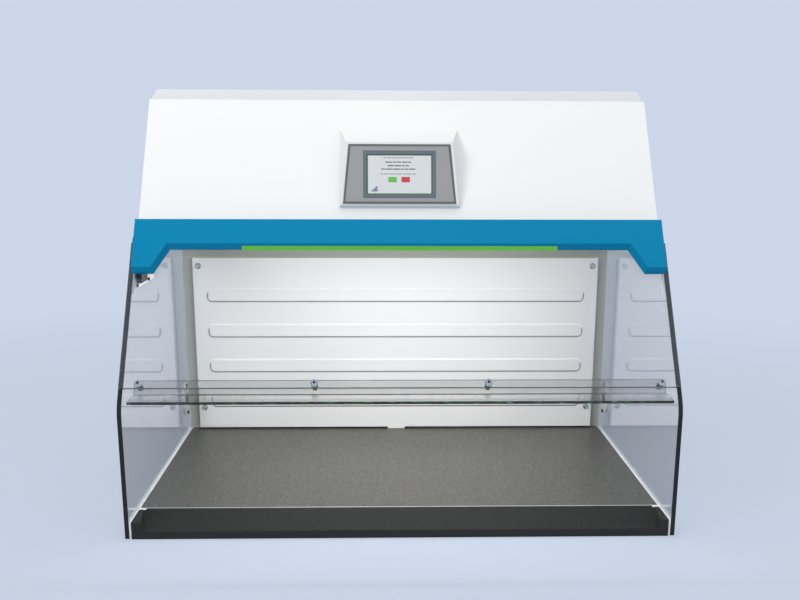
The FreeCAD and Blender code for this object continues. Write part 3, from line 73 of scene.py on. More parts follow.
class Nodes:
    """A node material with small helpers for its graph."""

    def __init__(self, name):
        self.material = bpy.data.materials.new(name)
        self.material.use_nodes = True
        self.tree = self.material.node_tree
        self.shader = self.tree.nodes["Principled BSDF"]
        self.output = self.tree.nodes["Material Output"]
        self.place = self.add("ShaderNodeTexCoord").outputs["Object"]

    def add(self, kind):
        return self.tree.nodes.new(kind)

    def link(self, source, target):
        self.tree.links.new(source, target)

    def noise(self, per_metre, detail=2.0, place=None):
        node = self.add("ShaderNodeTexNoise")
        node.inputs["Scale"].default_value = per_metre
        node.inputs["Detail"].default_value = detail
        self.link(place or self.place, node.inputs["Vector"])
        return node.outputs["Fac"]

    def streaks(self, per_metre, detail):
        """Noise with its own scale along each axis."""
        stretch = self.add("ShaderNodeMapping")
        stretch.inputs["Scale"].default_value = per_metre
        self.link(self.place, stretch.inputs["Vector"])
        return self.noise(1.0, detail, stretch.outputs["Vector"])

    def span(self, value, low, high, start=0.3, stop=0.7):
        """Value mapped from its usual spread to low and high."""
        node = self.add("ShaderNodeMapRange")
        node.inputs["From Min"].default_value = start
        node.inputs["From Max"].default_value = stop
        node.inputs["To Min"].default_value = low
        node.inputs["To Max"].default_value = high
        self.link(value, node.inputs["Value"])
        return node.outputs["Result"]

    def blend(self, factor, first, second):
        """Colour between two colours or sockets."""
        node = self.add("ShaderNodeMix")
        node.data_type = "RGBA"
        self.link(factor, node.inputs["Factor"])
        # A mix node keeps its two colours at these sockets, and the mixed colour at output 2
        self.fill(node, ((6, first), (7, second)))
        return node.outputs[2]

    def fill(self, node, inputs):
        """Link or set each numbered input."""
        for index, value in inputs:
            if isinstance(value, bpy.types.NodeSocket):
                self.link(value, node.inputs[index])
            else:
                node.inputs[index].default_value = value

    def bump(self, height, strength, distance):
        node = self.add("ShaderNodeBump")
        node.inputs["Strength"].default_value = strength
        node.inputs["Distance"].default_value = distance
        self.link(height, node.inputs["Height"])
        self.link(node.outputs["Normal"], self.shader.inputs["Normal"])

    def maths(self, operation, first, second):
        """Sum, product or greater of two sockets or numbers."""
        node = self.add("ShaderNodeMath")
        node.operation = operation
        self.fill(node, ((0, first), (1, second)))
        return node.outputs["Value"]


def set_input(shader, name, value):
    shader.inputs[name].default_value = value


def surface(name, colour, roughness, metallic=0.0, uneven=0.06, grain=500, relief=0.15, depth=0.3 * MM,
            specular=0.5):
    """Solid finish with slow drift in tone, uneven gloss and a fine relief."""
    graph = Nodes(name)
    tone = graph.noise(SLOW_DRIFT, detail=3.0)
    fine = graph.noise(grain)
    drifted = graph.blend(tone, shade(colour, 1 - uneven / 2), shade(colour, 1 + uneven / 2))
    base = graph.blend(graph.span(fine, 0.0, 0.6), drifted, shade(colour, 1 - uneven))
    graph.link(base, graph.shader.inputs["Base Color"])
    gloss = graph.span(graph.noise(grain / 12, detail=4.0), roughness * 0.88, roughness * 1.12)
    graph.link(gloss, graph.shader.inputs["Roughness"])
    graph.bump(fine, relief, depth)
    set_input(graph.shader, "Metallic", metallic)
    set_input(graph.shader, "Specular IOR Level", specular)
    return graph


def brushed(name, colour, roughness, axis=0):
    """Rolled or brushed metal with fine lines along one axis."""
    graph = Nodes(name)
    scale = [FINE_LINES] * 3
    scale[axis] = METAL_LINE
    streaks = graph.streaks(scale, 2.0)
    base = graph.blend(graph.span(streaks, 0, 1), shade(colour, 0.86), shade(colour, 1.08))
    graph.link(base, graph.shader.inputs["Base Color"])
    graph.link(graph.span(streaks, roughness * 0.8, roughness * 1.25), graph.shader.inputs["Roughness"])
    graph.bump(streaks, 0.12, 0.1 * MM)
    set_input(graph.shader, "Metallic", 1.0)
    return graph


def speckled_laminate(name):
    """Dark hard laminate with pale and dark specks."""
    graph = Nodes(name)
    dark = linear(48, 48, 46)
    base = linear(69, 69, 65)
    pale = linear(120, 118, 110)
    specks = graph.span(graph.noise(620, detail=1.0), 0, 1, start=0.56, stop=0.62)
    pits = graph.span(graph.noise(480, detail=1.0), 0, 1, start=0.57, stop=0.63)
    ground = graph.blend(graph.noise(40, detail=4.0), shade(base, 0.9), shade(base, 1.1))
    darker = graph.blend(pits, ground, dark)
    graph.link(graph.blend(specks, darker, pale), graph.shader.inputs["Base Color"])
    graph.link(graph.span(graph.noise(260, detail=3.0), 0.34, 0.5), graph.shader.inputs["Roughness"])
    graph.bump(graph.noise(900), 0.35, 0.2 * MM)
    return graph


def clear_sheet(name, tint, roughness=0.02):
    """Clear acrylic that lets light through without a hard shadow."""
    graph = Nodes(name)
    shader = graph.shader
    set_input(shader, "Base Color", tint)
    set_input(shader, "Transmission Weight", 1.0)
    set_input(shader, "IOR", ACRYLIC_IOR)
    haze = graph.span(graph.noise(9, detail=5.0), roughness * 0.4, roughness * 2.0)
    graph.link(haze, shader.inputs["Roughness"])
    through = graph.add("ShaderNodeBsdfTransparent")
    through.inputs["Color"].default_value = shade(tint, 0.97)
    rays = graph.add("ShaderNodeLightPath")
    mix = graph.add("ShaderNodeMixShader")
    graph.link(rays.outputs["Is Shadow Ray"], mix.inputs["Fac"])
    graph.link(shader.outputs["BSDF"], mix.inputs[1])
    graph.link(through.outputs["BSDF"], mix.inputs[2])
    graph.link(mix.outputs["Shader"], graph.output.inputs["Surface"])
    return graph


def glowing(name, colour, strength, grain=300):
    """Lit surface with a faintly uneven glow."""
    graph = Nodes(name)
    uneven = graph.blend(graph.noise(grain), shade(colour, 0.94), colour)
    graph.link(uneven, graph.shader.inputs["Base Color"])
    graph.link(uneven, graph.shader.inputs["Emission Color"])
    set_input(graph.shader, "Emission Strength", strength)
    set_input(graph.shader, "Roughness", 0.35)
    return graph


def pleated_media(name):
    """Pale filter paper with a soft sheen."""
    graph = surface(name, linear(232, 233, 228), 0.9, uneven=0.08, grain=1500, relief=0.5, depth=0.4 * MM)
    set_input(graph.shader, "Sheen Weight", 0.2)
    return graph


# The finish of each material slot

WHITE = linear(240, 241, 241)
BLUE = linear(0, 130, 174)

finishes = {
    "white_paint": surface("white_powder_coat", WHITE, 0.45, uneven=0.03, grain=700, relief=0.16,
                           depth=0.2 * MM, specular=0.35),
    "dark_sill": surface("black_grained_plastic", linear(42, 43, 42), 0.55, uneven=0.1, grain=1600,
                         relief=0.5, specular=0.25),
    "worktop": speckled_laminate("speckled_laminate"),
    "clear_sheet": clear_sheet("clear_acrylic", (0.972, 0.975, 0.972, 1.0)),
    "port_plate": surface("port_plate_plastic", linear(205, 207, 208), 0.4, uneven=0.04, grain=900),
    "rubber": surface("black_rubber", linear(32, 32, 33), 0.7, uneven=0.12, grain=1200, relief=0.4),
    "gasket": surface("grey_foam", linear(110, 110, 108), 0.95, uneven=0.15, grain=1500, relief=0.8),
    "dark_screw": surface("black_oxide", linear(40, 40, 42), 0.35, metallic=0.9, uneven=0.1, grain=1500),
    "steel": brushed("satin_steel", linear(190, 191, 192), 0.35),
    "chrome_screw": surface("polished_steel", linear(205, 206, 208), 0.12, metallic=1.0, uneven=0.04,
                            grain=1500, relief=0.05),
    "bar_metal": brushed("anodised_aluminium", linear(200, 201, 203), 0.4),
    "zinc_sheet": brushed("zinc_coated_sheet", linear(176, 180, 182), 0.42, axis=1),
    "motor_metal": surface("cast_aluminium", linear(150, 152, 154), 0.5, metallic=0.9, uneven=0.12,
                           grain=600, relief=0.4),
    "fan_plastic": surface("moulded_black", linear(44, 45, 47), 0.45, uneven=0.08, grain=900, relief=0.3),
    "filter_media": pleated_media("filter_media"),
    "filter_frame": surface("filter_board", linear(196, 176, 140), 0.8, uneven=0.14, grain=900, relief=0.4),
    "control_plastic": surface("grey_enclosure", linear(168, 171, 173), 0.5, uneven=0.06, grain=900),
    "lamp_lens": glowing("lamp_glow", linear(255, 252, 244), 7.0),
    "dark_plastic": surface("black_plastic", linear(38, 38, 40), 0.42, uneven=0.1, grain=1100, relief=0.3),
    "pod_shell": surface("pod_moulding", linear(236, 237, 237), 0.42, uneven=0.02, grain=900, relief=0.12,
                         depth=0.2 * MM),
    "bezel": surface("grey_bezel", linear(160, 161, 160), 0.45, uneven=0.05, grain=1100, relief=0.2),
    "surround": surface("slate_surround", linear(107, 114, 120), 0.38, uneven=0.05, grain=1100, relief=0.2),
    "screen": glowing("screen_glow", linear(208, 210, 212), 0.18),
    "board": surface("circuit_board", linear(24, 92, 52), 0.5, uneven=0.15, grain=400, relief=0.4),
    "blue_fascia": surface("blue_satin_paint", BLUE, 0.45, uneven=0.03, grain=800, relief=0.1,
                           depth=0.2 * MM, specular=0.15),
    "green_light": glowing("status_glow", linear(96, 184, 60), 0.3),
}

# The side sheets look greyer than the visor, and the wall behind the baffle greyer than the baffle; the
# sheets' darker tint and the wall's grey paint are painted shade
side_sheet_painted_shade = clear_sheet("clear_side_acrylic_painted_shade", (0.775, 0.785, 0.80, 1.0))
wall_painted_shade = surface("wall_grey_painted_shade", linear(178, 180, 172), 0.5, uneven=0.05, grain=700, relief=0.2,
                     depth=0.2 * MM, specular=0.3)
own_finish = {
    "side_panel_left": side_sheet_painted_shade, "side_panel_right": side_sheet_painted_shade,
    "rear_wall": wall_painted_shade, "rear_frame": wall_painted_shade,
    "baffle_screws": finishes["chrome_screw"],
}

slots = {entry["node"]: entry["material_slot"] for entry in frame["record"]["subparts"]}
for name, item in nodes.items():
    item.data.materials.clear()
    item.data.materials.append(own_finish.get(name, finishes[slots[name]]).material)


# A polygon faces a way when more of its normal than this points along it
FACING = 0.9


def add_finish(name, graph, is_wanted):
    """One more slot on a node, for the polygons that are wanted in it."""
    mesh = nodes[name].data
    mesh.materials.append(graph.material)
    for polygon in mesh.polygons:
        if is_wanted(polygon):
            polygon.material_index = len(mesh.materials) - 1


# The back is white outside, like the head; the grey paint inside is painted shade
for name in ("rear_wall", "rear_frame"):
    add_finish(name, finishes["white_paint"], lambda polygon: polygon.normal.y > FACING)


# Cut edges of the clear sheets, which look dark because light leaves them elsewhere: their dark colour and
# darker tints are painted shade, the visor's pale lower edge is a painted highlight, and the lip's darker
# faces are painted shade where it laps the visor

dark_edge_painted_shade = surface("sheet_edge_painted_shade", linear(26, 29, 29), 0.25, uneven=0.35, grain=60, relief=0.1,
                    specular=0.35)
clear_edge_painted_shade = clear_sheet("sheet_edge_painted_shade_tint", (0.70, 0.73, 0.72, 1.0), roughness=0.12)
lip_band_painted_shade = clear_sheet("lapped_sheet_painted_shade", (0.72, 0.72, 0.705, 1.0), roughness=0.03)
edge_painted_highlight = surface("sheet_edge_painted_highlight", linear(172, 175, 172), 0.35, uneven=0.1, grain=900)


def painted_glint_edge(name):
    """Polished edge painted dark with pale and green glints, as painted shade and painted highlights for
    how a sheet's edge gathers light from far off.
    """
    graph = Nodes(name)
    value = graph.streaks((PAINTED_GLINT, FINE_LINES, FINE_LINES), 3.0)
    dark = linear(38, 42, 40)
    green = linear(70, 150, 66)
    pale = linear(196, 200, 198)
    greenish = graph.blend(graph.span(value, 0, 1, start=0.6, stop=0.66), dark, green)
    glinting = graph.blend(graph.span(value, 0, 1, start=0.33, stop=0.28), greenish, pale)
    graph.link(glinting, graph.shader.inputs["Base Color"])
    graph.link(graph.span(value, 0.15, 0.3), graph.shader.inputs["Roughness"])
    return graph


lip_painted_glints = painted_glint_edge("sheet_edge_painted_glints")
SLOPE = math.radians(35.2)
slope_out = Vector((0, -math.cos(SLOPE), math.sin(SLOPE)))


def along_slope(polygon):
    return abs(polygon.normal.dot(slope_out)) > FACING


def lip_cut(polygon):
    """Ends of the lip and its front edge."""
    return abs(polygon.normal.x) >= 0.5 or polygon.normal.y < -0.99


# The side sheets' edges get the dark painted shade
for side in ("left", "right"):
    add_finish(f"side_panel_{side}", dark_edge_painted_shade, lambda polygon: abs(polygon.normal.x) <= FACING)
# The visor's edges get a darker tint as painted shade, and its lower edge a pale painted highlight
add_finish("visor", clear_edge_painted_shade, lambda polygon: not along_slope(polygon))
add_finish("visor", edge_painted_highlight, lambda polygon: not along_slope(polygon) and polygon.normal.z < -0.5)
# The lip's ends and front edge get the painted glints
add_finish("visor_lip", lip_painted_glints, lip_cut)
# The lip's broad faces get a darker tint as painted shade where it laps the visor
add_finish("visor_lip", lip_band_painted_shade, along_slope)


# Softened edges of the moulded and milled pieces, in millimetres

SHARP = math.radians(32)
soft_edges = {
    "display_pod": 1.2, "display_bezel": 0.3, "screen_surround": 0.6, "fascia": 0.9, "front_sill": 0.8,
    "base_rail_left": 0.4, "base_rail_right": 0.4, "port_plate_left": 0.6, "port_plate_right": 0.6,
    "switch_plate": 0.3, "visor_switch": 0.5, "power_inlet": 0.5, "mains_rocker": 0.3, "worktop": 0.6,
}


def soften(name, radius):
    """Small bevel on the sharp edges of a piece, which keeps it inside its own box."""
    weld = nodes[name].modifiers.new("weld", "WELD")
    weld.merge_threshold = NEAR
    bevel = nodes[name].modifiers.new("soft_edges", "BEVEL")
    bevel.width = radius * MM
    bevel.segments = 2
    bevel.limit_method = "ANGLE"
    bevel.angle_limit = SHARP
    bevel.harden_normals = True


for name, radius in soft_edges.items():
    soften(name, radius)


# Small thin pieces laid on a flat face of a node

class Face:
    """The broad front face of a node: its middle, and the ways right, up and out."""

    def __init__(self, node):
        mesh = nodes[node].data
        facing = [p for p in mesh.polygons if p.normal.y < -0.5]
        self.out = max(facing, key=lambda p: p.area).normal.copy()
        level = max(v.co.dot(self.out) for v in mesh.vertices)
        on_face = [v.co for v in mesh.vertices if abs(v.co.dot(self.out) - level) < NEAR]
        self.right = Vector((1, 0, 0))
        self.up = self.out.cross(self.right)
        across = [c.dot(self.right) for c in on_face]
        along = [c.dot(self.up) for c in on_face]
        self.width = max(across) - min(across)
        self.height = max(along) - min(along)
        self.middle = (self.right * (max(across) + min(across)) / 2
                       + self.up * (max(along) + min(along)) / 2 + self.out * level)

    def at(self, across, along, out=0.0):
        return self.middle + self.right * across + self.up * along + self.out * out


def piece(name, shape, graph, body):
    """A shape made into an object that rides a body."""
    bmesh.ops.recalc_face_normals(shape, faces=shape.faces)
    data = bpy.data.meshes.new(name)
    shape.to_mesh(data)
    shape.free()
    item = bpy.data.objects.new(name, data)
    bpy.context.scene.collection.objects.link(item)
    item.data.materials.append(graph.material)
    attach(item, body)
    return item


def join_loops(shape, low, high):
    """Ring of four-sided faces between two loops of as many vertices."""
    count = len(low)
    for index in range(count):
        after = (index + 1) % count
        shape.faces.new((low[index], low[after], high[after], high[index]))


def plates(name, face, outlines, thick, graph, body):
    """Thin flat plates, each given by its outline on the face."""
    shape = bmesh.new()
    for points in outlines:
        low = [shape.verts.new(face.at(u, v)) for u, v in points]
        high = [shape.verts.new(face.at(u, v, thick)) for u, v in points]
        shape.faces.new(high)
        shape.faces.new(low[::-1])
        join_loops(shape, low, high)
    return piece(name, shape, graph, body)


CORNER_SIGNS = ((1, 1), (-1, 1), (-1, -1), (1, -1))


def rectangle(middle_u, middle_v, width, height, radius=0.0, steps=4):
    """Outline of a rectangle, with rounded corners where there is a radius."""
    points = []
    for turn, (su, sv) in enumerate(CORNER_SIGNS):
        cu = middle_u + su * (width / 2 - radius)
        cv = middle_v + sv * (height / 2 - radius)
        if radius == 0:
            points.append((cu, cv))
            continue
        for step in range(steps + 1):
            angle = math.pi / 2 * (turn + step / steps)
            points.append((cu + radius * math.cos(angle), cv + radius * math.sin(angle)))
    return points


def border(width, height, line):
    """Four bars that make a rectangular frame."""
    return [
        rectangle(0, (height - line) / 2, width, line),
        rectangle(0, -(height - line) / 2, width, line),
        rectangle((width - line) / 2, 0, line, height - 2 * line),
        rectangle(-(width - line) / 2, 0, line, height - 2 * line),
    ]


# Border, rows that stand for words, two buttons and a signal mark on the touch screen

screen = Face("touch_screen")
SKIN = 0.15 * MM
BORDER_LINE = 1.8 * MM
WORD_GAP = 1.3 * MM
BOLD_ROW, FINE_ROW = 2.2 * MM, 1.6 * MM
# Words run through a few lengths, and rows sit a little left, both as shares of the screen's width
WORD_SHORT, WORD_STEP, WORD_LENGTHS = 0.045, 0.022, 4
ROW_LEFT, ROW_FULL = 0.02, 0.96
BUTTON_WIDE, BUTTON_TALL, BUTTON_CORNER = 16 * MM, 10 * MM, 1 * MM
BUTTON_LEVEL = -9.8 * MM
SIGNAL_LEFT, SIGNAL_FOOT = -52 * MM, -32.5 * MM
BAR_WIDE, BAR_PITCH, BAR_SHORT, BAR_STEP = 2 * MM, 3 * MM, 3 * MM, 2.4 * MM
ink_green = surface("ink_green", linear(74, 128, 78), 0.4, grain=900)
ink_grey = surface("ink_grey", linear(150, 154, 164), 0.4, grain=900)
ink_dark = surface("ink_dark", linear(112, 117, 130), 0.4, grain=900)
ink_blue = surface("ink_blue", linear(58, 74, 120), 0.4, grain=900)
ink_yes = surface("button_green", linear(116, 190, 88), 0.4, grain=900)
ink_no = surface("button_red", linear(206, 70, 76), 0.4, grain=900)


def on_screen(name, outlines, graph, thick=SKIN):
    """Plates on the screen's face."""
    plates(name, screen, outlines, thick, graph, "cabinet")


def dashed_row(number, level, share):
    """Start, level and length of each dash in a row that stands for words."""
    length = screen.width * share
    start = -length / 2 - screen.width * ROW_LEFT
    reach = 0.0
    dashes = []
    while reach < length * ROW_FULL:
        steps = (len(dashes) * 5 + number * 3) % WORD_LENGTHS
        word = min(screen.width * (WORD_SHORT + WORD_STEP * steps), length - reach)
        dashes.append((start + reach, screen.height * level, word))
        reach += word + WORD_GAP
    return dashes


on_screen("screen_border", border(screen.width, screen.height, BORDER_LINE), ink_green)

# Level in the screen's height, length in its width, and whether the row is bold
rows = [
    (0.42, 0.46, False),
    (0.31, 0.40, True),
    (0.222, 0.33, True),
    (0.135, 0.52, True),
    (0.012, 0.55, False),
]
bars = {True: [], False: []}
for number, (level, share, bold) in enumerate(rows):
    tall = BOLD_ROW if bold else FINE_ROW
    for start, height, word in dashed_row(number, level, share):
        bars[bold].append(rectangle(start + word / 2, height, word, tall))
on_screen("screen_text_bars", bars[False], ink_grey)
on_screen("screen_bold_bars", bars[True], ink_dark)

for name, across, ink in (("screen_button_green", -13.5, ink_yes), ("screen_button_red", 11.5, ink_no)):
    outline = rectangle(across * MM, BUTTON_LEVEL, BUTTON_WIDE, BUTTON_TALL, radius=BUTTON_CORNER)
    on_screen(name, [outline], ink, thick=SKIN * 2)

signal = []
for step in range(4):
    tall = BAR_SHORT + BAR_STEP * step
    signal.append(rectangle(SIGNAL_LEFT + BAR_PITCH * step, SIGNAL_FOOT + tall / 2, BAR_WIDE, tall))
on_screen("screen_signal_bars", signal, ink_blue)


# Dark line round the grey bezel, which narrows towards the top; the line is painted shade of a groove round
# the bezel's face

bezel = Face("display_bezel")
BEZEL_LINE = 4 * MM
bezel_groove_painted_shade = surface("bezel_line_painted_shade", linear(104, 105, 104), 0.5, grain=1100)
on_front = [v.co for v in nodes["display_bezel"].data.vertices
            if abs((v.co - bezel.middle).dot(bezel.out)) < NEAR]
half_height = bezel.height / 2
low_half = max(abs(c.x) for c in on_front if (c - bezel.middle).dot(bezel.up) < 0)
high_half = max(abs(c.x) for c in on_front
                if (c - bezel.middle).dot(bezel.up) > half_height - 10 * NEAR)


def bezel_corners(inset):
    """Corners of the bezel's outline, drawn in by an inset."""
    low, high, rise = low_half - inset, high_half - inset, half_height - inset
    return [(-low, -rise), (low, -rise), (high, rise), (-high, rise)]


outer, inner = bezel_corners(0), bezel_corners(BEZEL_LINE)
frame_bars = [[outer[i], outer[(i + 1) % 4], inner[(i + 1) % 4], inner[i]] for i in range(4)]
plates("bezel_line", bezel, frame_bars, SKIN, bezel_groove_painted_shade, "cabinet")


# Hexagon sockets in the dome screws of the lip

SOCKET_RADIUS = 2.6 * MM
SOCKET_DEPTH = 0.25 * MM
SOCKET_SIDES = 6
# Height over the crown and width of each ring, from the outer foot over the rim into the socket
SOCKET_RINGS = ((0.0, 1.0), (SOCKET_DEPTH, 1.0), (SOCKET_DEPTH, 0.82), (SOCKET_DEPTH * 0.3, 0.7))


def socket(centre, out, name):
    """Shallow socket set on a screw's crown, dark with painted shade that stands for its depth."""
    out = out.normalized()
    first = out.orthogonal().normalized()
    second = out.cross(first)
    shape = bmesh.new()
    rings = []
    for level, scale in SOCKET_RINGS:
        ring = []
        for index in range(SOCKET_SIDES):
            angle = 2 * math.pi * index / SOCKET_SIDES
            way = first * math.cos(angle) + second * math.sin(angle)
            ring.append(shape.verts.new(centre + way * SOCKET_RADIUS * scale + out * level))
        rings.append(ring)
    for low, high in zip(rings, rings[1:]):
        join_loops(shape, low, high)
    shape.faces.new(rings[-1])
    shape.faces.new(rings[0][::-1])
    piece(name, shape, socket_painted_shade, "hood")


def separate_groups(node):
    """Vertex places of each loose solid of a node."""
    shape = bmesh.new()
    shape.from_mesh(nodes[node].data)
    bmesh.ops.remove_doubles(shape, verts=shape.verts, dist=NEAR / 10)
    shape.verts.index_update()
    groups = []
    met = set()
    for start in shape.verts:
        if start.index in met:
            continue
        met.add(start.index)
        stack = [start]
        members = []
        while stack:
            vertex = stack.pop()
            members.append(vertex.co.copy())
            for edge in vertex.link_edges:
                other = edge.other_vert(vertex)
                if other.index not in met:
                    met.add(other.index)
                    stack.append(other)
        groups.append(members)
    shape.free()
    return groups


socket_painted_shade = surface("socket_painted_shadow", linear(30, 30, 32), 0.5, metallic=0.6, grain=1500)
for number, members in enumerate(separate_groups("lip_screws")):
    level = max(place.dot(slope_out) for place in members)
    middle = sum(members, Vector()) / len(members)
    crown = middle + slope_out * (level - middle.dot(slope_out))
    socket(crown, slope_out, f"lip_screws_socket_{number + 1}")


# Rounded feet of the baffle's pressed ribs

RIB_RAISE = 2 * MM
RIB_CORNER = 8 * MM
# Two ribs stand further apart than the gap, and none is taller than the reach
RIB_GAP = 30 * MM
RIB_REACH = 50 * MM
FOOT = 3.6 * MM
rib_foot_painted_shade = surface("pressed_edge_painted_shade", linear(150, 152, 148), 0.5, uneven=0.08, grain=700)


def rib_places():
    """Middle, half length and half height of each rib, from the baffle's foremost points."""
    mesh = nodes["rear_baffle"].data
    level = min(v.co.y for v in mesh.vertices)
    front = [v.co for v in mesh.vertices if v.co.y < level + NEAR]
    heights = sorted(co.z for co in front)
    starts = [heights[0]] + [high for low, high in zip(heights, heights[1:]) if high - low > RIB_GAP]
    ribs = []
    for start in starts:
        members = [co for co in front if start - 10 * NEAR <= co.z < start + RIB_REACH]
        low, high = min(c.z for c in members), max(c.z for c in members)
        half_long = max(abs(c.x) for c in members)
        ribs.append(((low + high) / 2, half_long, (high - low) / 2))
    return level, ribs


def add_rib_feet():
    """Sloped ring round each rib, from its rim down to the baffle, with painted shade on its faces below
    and at the ends.
    """
    level, ribs = rib_places()
    shape = bmesh.new()
    for middle, half_long, half_high in ribs:
        loops = []
        for grow, depth in ((0.0, 0.0), (FOOT, RIB_RAISE), (0.0, RIB_RAISE)):
            points = rectangle(0, middle, 2 * (half_long + grow), 2 * (half_high + grow),
                               radius=RIB_CORNER + grow, steps=6)
            loops.append([shape.verts.new((x, level + depth, z)) for x, z in points])
        for first, second in ((0, 1), (1, 2), (2, 0)):
            join_loops(shape, loops[first], loops[second])
    item = piece("rib_feet", shape, finishes["white_paint"], "cabinet")
    item.data.materials.append(rib_foot_painted_shade.material)
    # Faces that look down or to the ends get the painted shade
    for polygon in item.data.polygons:
        if polygon.normal.y < -0.1 and polygon.normal.z < 0.02:
            polygon.material_index = 1


add_rib_feet()


# Painted shadow on the rear wall beside the baffle's folded sides, where they meet it

SHADOW_NEAR, SHADOW_FAR, SHADOW_FOOT, SHADOW_SKIN = 0.2 * MM, 2.4 * MM, 6 * MM, 0.25 * MM


def add_side_painted_shadow():
    """Dark strips of painted shadow on the wall along the baffle's two sides."""
    low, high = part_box("rear_baffle")
    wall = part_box("rear_wall")[0].y
    shape = bmesh.new()
    bottom = low.z + SHADOW_FOOT
    for side in (-1, 1):
        near, far = side * (high.x + SHADOW_NEAR), side * (high.x + SHADOW_FAR)
        corners = [(near, bottom), (far, bottom), (far, high.z), (near, high.z)]
        front = [shape.verts.new((x, wall - SHADOW_SKIN, z)) for x, z in corners]
        rear = [shape.verts.new((x, wall, z)) for x, z in corners]
        shape.faces.new(front)
        shape.faces.new(rear[::-1])
        join_loops(shape, front, rear)
    side_painted_shadow = surface("side_painted_shadow", linear(104, 105, 99), 0.7, uneven=0.2, grain=300, specular=0.2)
    piece("baffle_side_painted_shadow", shape, side_painted_shadow, "cabinet")


add_side_painted_shadow()


# Camera at the photograph's viewing angle

PHOTO = (800, 600)
FOCAL_PIXELS = 1035.0
CENTRE_PIXEL = (408.3, 413.7)
SENSOR = 36.0
PITCH = math.radians(14.72)
YAW = math.radians(1.62)
ROLL = math.radians(-0.217)
EYE_ACROSS, EYE_BEFORE, EYE_HIGH = -0.0387, 1.7659, 0.6965
front_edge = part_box("side_panel_left")[0].y

ahead = Vector((math.sin(YAW) * math.cos(PITCH), math.cos(YAW) * math.cos(PITCH), -math.sin(PITCH)))
level_right = Vector((math.cos(YAW), -math.sin(YAW), 0))
down = ahead.cross(level_right)
right = level_right * math.cos(ROLL) + down * math.sin(ROLL)
below = down * math.cos(ROLL) - level_right * math.sin(ROLL)
camera_data = bpy.data.cameras.new("camera")
camera_data.sensor_width = SENSOR
camera_data.lens = FOCAL_PIXELS * SENSOR / PHOTO[0]
camera_data.shift_x = (PHOTO[0] / 2 - CENTRE_PIXEL[0]) / PHOTO[0]
camera_data.shift_y = (CENTRE_PIXEL[1] - PHOTO[1] / 2) / PHOTO[0]
camera = bpy.data.objects.new("camera", camera_data)
turn = Matrix((right, -below, -ahead)).transposed()
eye = (EYE_ACROSS, front_edge - EYE_BEFORE, EYE_HIGH)
camera.matrix_world = Matrix.Translation(eye) @ turn.to_4x4()
bpy.context.scene.collection.objects.link(camera)
bpy.context.scene.camera = camera


# Floor, world and lamps

BACKGROUND = linear(203, 215, 232)
FLOOR_REACH = 14.0
FADE_FROM, FADE_TO, FADE_LEAST = 0.6, 2.6, 0.55


def make_floor():
    """Pale floor that keeps a soft shadow near the cabinet and fades into the background."""
    graph = Nodes("floor_pale")
    pale = shade(BACKGROUND, 0.86)
    tone = graph.blend(graph.noise(3, detail=3.0), shade(pale, 0.985), pale)
    graph.link(tone, graph.shader.inputs["Base Color"])
    set_input(graph.shader, "Roughness", 0.9)
    glow = graph.add("ShaderNodeEmission")
    glow.inputs["Color"].default_value = BACKGROUND
    glow.inputs["Strength"].default_value = 1.0
    # The share of plain background grows from the cabinet outwards
    distance = graph.add("ShaderNodeVectorMath")
    distance.operation = "LENGTH"
    graph.link(graph.place, distance.inputs[0])
    share = graph.span(distance.outputs["Value"], FADE_LEAST, 1.0, start=FADE_FROM, stop=FADE_TO)
    rays = graph.add("ShaderNodeLightPath")
    seen = graph.maths("MAXIMUM", rays.outputs["Is Camera Ray"], rays.outputs["Is Transmission Ray"])
    mix = graph.add("ShaderNodeMixShader")
    graph.link(graph.maths("MULTIPLY", seen, share), mix.inputs["Fac"])
    graph.link(graph.shader.outputs["BSDF"], mix.inputs[1])
    graph.link(glow.outputs["Emission"], mix.inputs[2])
    graph.link(mix.outputs["Shader"], graph.output.inputs["Surface"])
    data = bpy.data.meshes.new("floor")
    corners = [(x * FLOOR_REACH, y * FLOOR_REACH, 0) for x, y in ((-1, -1), (1, -1), (1, 1), (-1, 1))]
    data.from_pydata(corners, [], [(0, 1, 2, 3)])
    floor = bpy.data.objects.new("floor", data)
    floor.data.materials.append(graph.material)
    bpy.context.scene.collection.objects.link(floor)


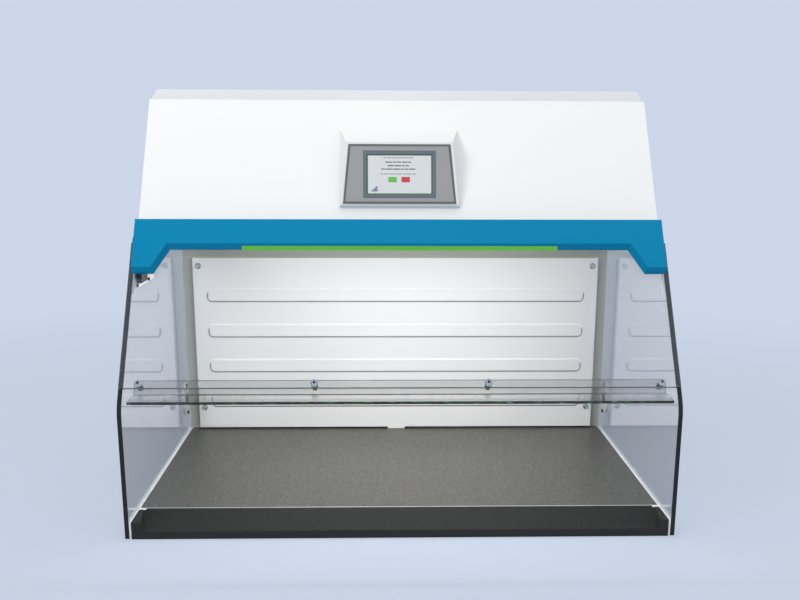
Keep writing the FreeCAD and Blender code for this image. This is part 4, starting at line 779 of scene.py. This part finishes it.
def make_world(strength):
    """Soft light from all round, with the plain background where it is seen, mirrored or shines through."""
    world = bpy.data.worlds.new("world")
    bpy.context.scene.world = world
    world.use_nodes = True
    tree = world.node_tree
    lit = tree.nodes["Background"]
    lit.inputs["Color"].default_value = (1.0, 1.0, 1.0, 1.0)
    lit.inputs["Strength"].default_value = strength
    shown = tree.nodes.new("ShaderNodeBackground")
    shown.inputs["Color"].default_value = BACKGROUND
    shown.inputs["Strength"].default_value = 1.0
    rays = tree.nodes.new("ShaderNodeLightPath")
    seen = rays.outputs["Is Camera Ray"]
    for kind in ("Is Glossy Ray", "Is Transmission Ray"):
        greater = tree.nodes.new("ShaderNodeMath")
        greater.operation = "MAXIMUM"
        tree.links.new(seen, greater.inputs[0])
        tree.links.new(rays.outputs[kind], greater.inputs[1])
        seen = greater.outputs["Value"]
    mix = tree.nodes.new("ShaderNodeMixShader")
    tree.links.new(seen, mix.inputs["Fac"])
    tree.links.new(lit.outputs["Background"], mix.inputs[1])
    tree.links.new(shown.outputs["Background"], mix.inputs[2])
    tree.links.new(mix.outputs["Shader"], tree.nodes["World Output"].inputs["Surface"])


def area_lamp(name, place, target, width, watts, colour=(1, 1, 1)):
    """Soft square lamp that isn't mirrored, and isn't seen through the clear sheets."""
    data = bpy.data.lights.new(name, "AREA")
    data.shape = "SQUARE"
    data.size = width
    data.energy = watts
    data.color = colour
    lamp = bpy.data.objects.new(name, data)
    lamp.location = place
    way = Vector(target) - Vector(place)
    lamp.rotation_euler = way.to_track_quat("-Z", "Y").to_euler()
    lamp.visible_glossy = False
    lamp.visible_transmission = False
    bpy.context.scene.collection.objects.link(lamp)
    return data


make_floor()
make_world(strength=0.5)
area_lamp("key_lamp", (-1.9, -2.2, 2.5), (0, 0, 0.5), width=1.1, watts=42)
area_lamp("fill_lamp", (2.2, -2.2, 1.8), (0, 0, 0.4), width=2.4, watts=18)
area_lamp("top_lamp", (0, -0.2, 2.8), (0, 0, 0.4), width=2.0, watts=16)
area_lamp("back_lamp", (1.2, 3.2, 1.9), (0, 0.3, 0.4), width=2.0, watts=26)

# The chamber's own lamp throws its light down and back from the lens
TUBE_LONG, TUBE_WIDE, TUBE_BELOW, TUBE_BACK = 0.72, 0.03, 2 * MM, 0.22
WARM_WHITE = (1.0, 0.975, 0.93)
lens_low, lens_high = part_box("lamp_lens")
lens = ((lens_low.x + lens_high.x) / 2, (lens_low.y + lens_high.y) / 2, lens_low.z - TUBE_BELOW)
below_lens = (0, lens[1] + TUBE_BACK, 0)
tube = area_lamp("chamber_lamp", lens, below_lens, width=TUBE_LONG, watts=4.5, colour=WARM_WHITE)
tube.shape = "RECTANGLE"
tube.size_y = TUBE_WIDE

bpy.context.scene.view_settings.view_transform = "Standard"
